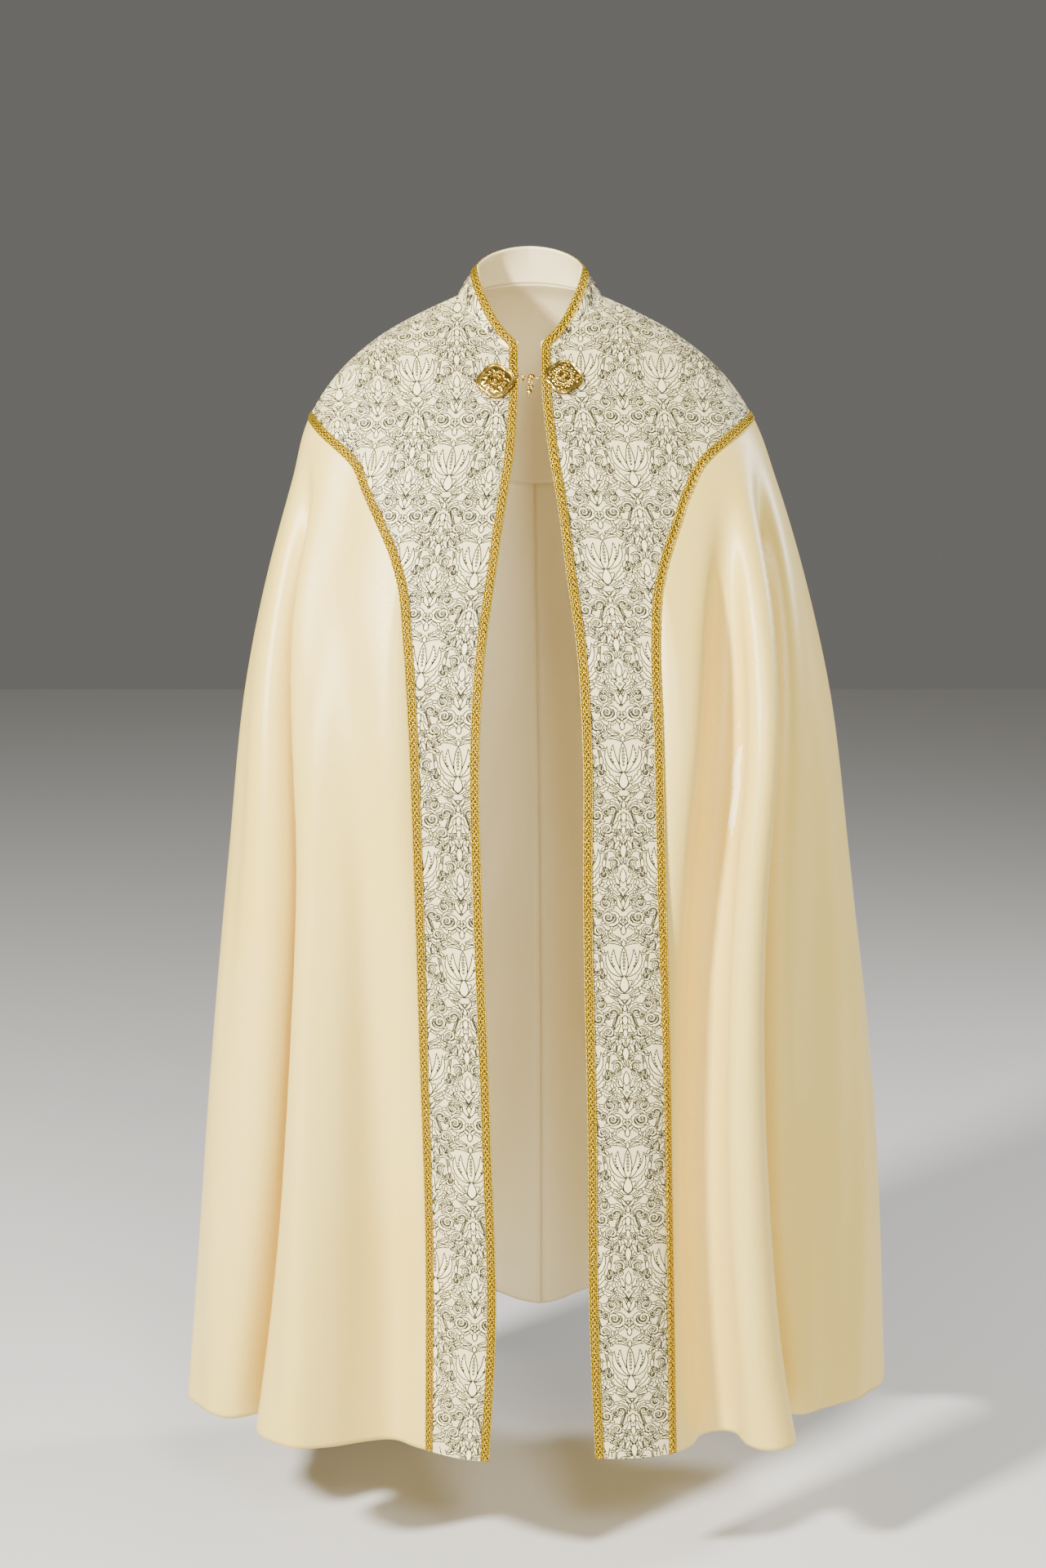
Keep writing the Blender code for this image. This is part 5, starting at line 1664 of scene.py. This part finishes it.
def brocadeMaterial():
    # smooth ivory leaves on a duller ground whose weave shows
    made, tree = newMaterial("brocade")
    cloth = clothPlace(tree)
    leaf = fromTo(tree, keptValue(tree, "leaf"), 0.42, 0.58)
    weft, warp = threadsAt(tree, cloth, 330.0, 0.8, "Y"), threadsAt(tree, cloth, 420.0, 0.8, "X")
    fibre = grainAt(tree, cloth, (900.0, 900.0, 1.0), 2.0)
    ground = mixedColour(tree, product(tree, weft, 0.45), finish["ground"], finish["groundDull"])
    dull = fromTo(tree, fibre, 0.4, 0.8, 0.0, 0.35)
    leafColour = mixedColour(tree, dull, finish["leaf"], finish["leafDull"])
    weave = product(tree, total(tree, weft, warp), fromTo(tree, leaf, 0.0, 1.0, 0.9, 0.25))
    height = total(tree, total(tree, weave, fibre), product(tree, leaf, 1.2))
    return finished(made, {
        "Base Color": mixedColour(tree, leaf, ground, leafColour),
        "Roughness": fromTo(tree, leaf, 0.0, 1.0, 0.50, 0.33),
        "Specular IOR Level": 0.65,
        "Sheen Weight": 0.15,
        "Sheen Roughness": 0.4,
        "Normal": raised(tree, height, 0.35, 0.00035),
    })


def threadMaterial():
    # the thin dark metallic thread that outlines the leaves: it glints where light strikes it, and
    # random lighter flecks in its colour are painted glints
    made, tree = newMaterial("damask_thread")
    # random lighter flecks along the thread: painted glints
    glintFlecks = fromTo(tree, noiseAt(tree, objectPlace(tree), 620.0, 1.0), 0.35, 0.72)
    return finished(made, {
        "Base Color": mixedColour(tree, glintFlecks, finish["outline"], finish["outlineGlint"]),
        "Metallic": 0.1,
        "Roughness": 0.5,
        "Specular IOR Level": 0.3,
    })


def braidMaterial():
    # gilt thread, twisted two-ply: each strand's twist follows its run and its round. The twist's
    # grooves and the ground strip are painted dark gold as painted shade, and random flecks are painted
    # lighter as painted glints
    made, tree = newMaterial("gold_braid")
    # the colour follows the twist: its low grooves get the dark gold of painted shade
    turns = total(tree, keptValue(tree, "ply"), keptValue(tree, "turn"))
    twist = compute(tree, "SINE", product(tree, turns, 2 * math.pi))
    glint = noiseAt(tree, objectPlace(tree), 900.0, 2.0)
    share = fromTo(tree, total(tree, product(tree, twist, 0.35), glint), 0.25, 0.85)
    height = total(tree, twist, product(tree, glint, 2.0))
    return finished(made, {
        "Base Color": mixedColour(tree, share, finish["goldPaintedShade"], finish["goldThread"]),
        "Metallic": 0.72,
        "Roughness": 0.34,
        "Normal": raised(tree, height, 0.5, 0.0004),
    })


def brassMaterial():
    # polished brass, dark where polish doesn't reach
    made, tree = newMaterial("gold_metal")
    stain = noiseAt(tree, objectPlace(tree), 160.0, 3.0)
    recess = fromTo(tree, keptValue(tree, "recess"), 0.08, 0.85)
    dark = product(tree, recess, fromTo(tree, stain, 0.2, 0.6, 0.75, 1.0))
    worn = total(tree, dark, product(tree, stain, 0.2))
    return finished(made, {
        "Base Color": mixedColour(tree, dark, finish["brass"], finish["brassDark"]),
        "Roughness": fromTo(tree, worn, 0.0, 1.0, 0.20, 0.5),
        "Metallic": 1.0,
        "Normal": raised(tree, noiseAt(tree, objectPlace(tree), 900.0, 2.0), 0.08, 0.0003),
    })


creamCloth = satinMaterial("cream_satin", "cream", "creamPale", "creamThin")
liningCloth = satinMaterial("cream_lining", "lining", "liningPale", "liningThin")
brocadeCloth, damaskLine = brocadeMaterial(), threadMaterial()
goldBraid, goldMetal = braidMaterial(), brassMaterial()
for side in (-1, 1):
    makeBody(side, creamCloth, liningCloth)
    makeFrontYoke(side, brocadeCloth, liningCloth)
    makeFrontThreads(side, damaskLine)
makeBackYoke(brocadeCloth, liningCloth)
threadsOverBack("damask_threads_back", damaskThread["backArea"], layOnBack, damaskLine)
makeCollar(brocadeCloth, liningCloth)
threadsOverBack("damask_threads_collar", damaskThread["collarArea"], layOnCollar, damaskLine)
print("cloth made")

plaited = braidTree()
for side in (-1, 1):
    name = sideNames[side]
    makeBraid("edge_braid_" + name, edgeBraidPath(side), plaited, goldBraid, "braid_edge_" + name)
    makeBraid("yoke_braid_" + name, seamBraidPath(side), plaited, goldBraid, "braid_yoke_" + name)
print("braids made")
makeClasp(goldMetal)
print("clasp made")

studio = {
    "cameraAt": (-0.008, -3.70, -0.05),
    "pitchDown": 8.56,
    "lens": 68.25,
    "sensor": 36.0,
    "floorHeight": -1.55,
    "floorHalf": 9.0,
    "floorColour": (0.68, 0.68, 0.67, 1.0),
    "worldColour": (1.0, 0.965, 0.90, 1.0),
    "worldStrength": 0.15,
    "lamps": (
        # name, place, aim, width, watts, colour
        ("key light", (-2.4, -2.9, 1.5), (0.0, 0.0, -0.55), 0.5, 610.0, (1.0, 0.96, 0.89)),
        ("fill light", (0.5, -3.6, 1.0), (0.0, 0.0, -0.5), 0.8, 105.0, (1.0, 0.97, 0.92)),
        ("rim light", (3.0, 1.0, 0.9), (0.0, 0.0, -0.6), 0.8, 120.0, (0.98, 0.98, 1.0)),
    ),
}


def makeStudio():
    camera = bpy.data.cameras.new("camera")
    camera.lens = studio["lens"]
    camera.sensor_width = studio["sensor"]
    camera.sensor_fit = "AUTO"
    holder = bpy.data.objects.new("camera", camera)
    holder.location = studio["cameraAt"]
    holder.rotation_euler = (math.radians(90.0 - studio["pitchDown"]), 0.0, 0.0)
    scene.collection.objects.link(holder)
    scene.camera = holder
    world = bpy.data.worlds.new("studio")
    world.use_nodes = True
    glow = {"Color": studio["worldColour"], "Strength": studio["worldStrength"]}
    fillInputs(world.node_tree, world.node_tree.nodes["Background"], glow)
    scene.world = world
    half, height = studio["floorHalf"], studio["floorHeight"]
    corners = [(x * half, y * half, height) for x, y in ((-1, -1), (1, -1), (1, 1), (-1, 1))]
    paint, _ = newMaterial("floor_paint")
    finished(paint, {"Base Color": studio["floorColour"], "Roughness": 0.9})
    floor = meshPiece("floor", corners, [(0, 1, 2, 3)], paint)
    for name, at, towards, wide, watts, colour in studio["lamps"]:
        lamp = bpy.data.lights.new(name, "AREA")
        lamp.shape = "DISK"
        lamp.size = wide
        lamp.energy = watts
        lamp.color = colour
        holder = bpy.data.objects.new(name, lamp)
        holder.location = at
        aim = Vector(towards) - Vector(at)
        holder.rotation_euler = aim.to_track_quat("-Z", "Y").to_euler()
        scene.collection.objects.link(holder)


makeStudio()
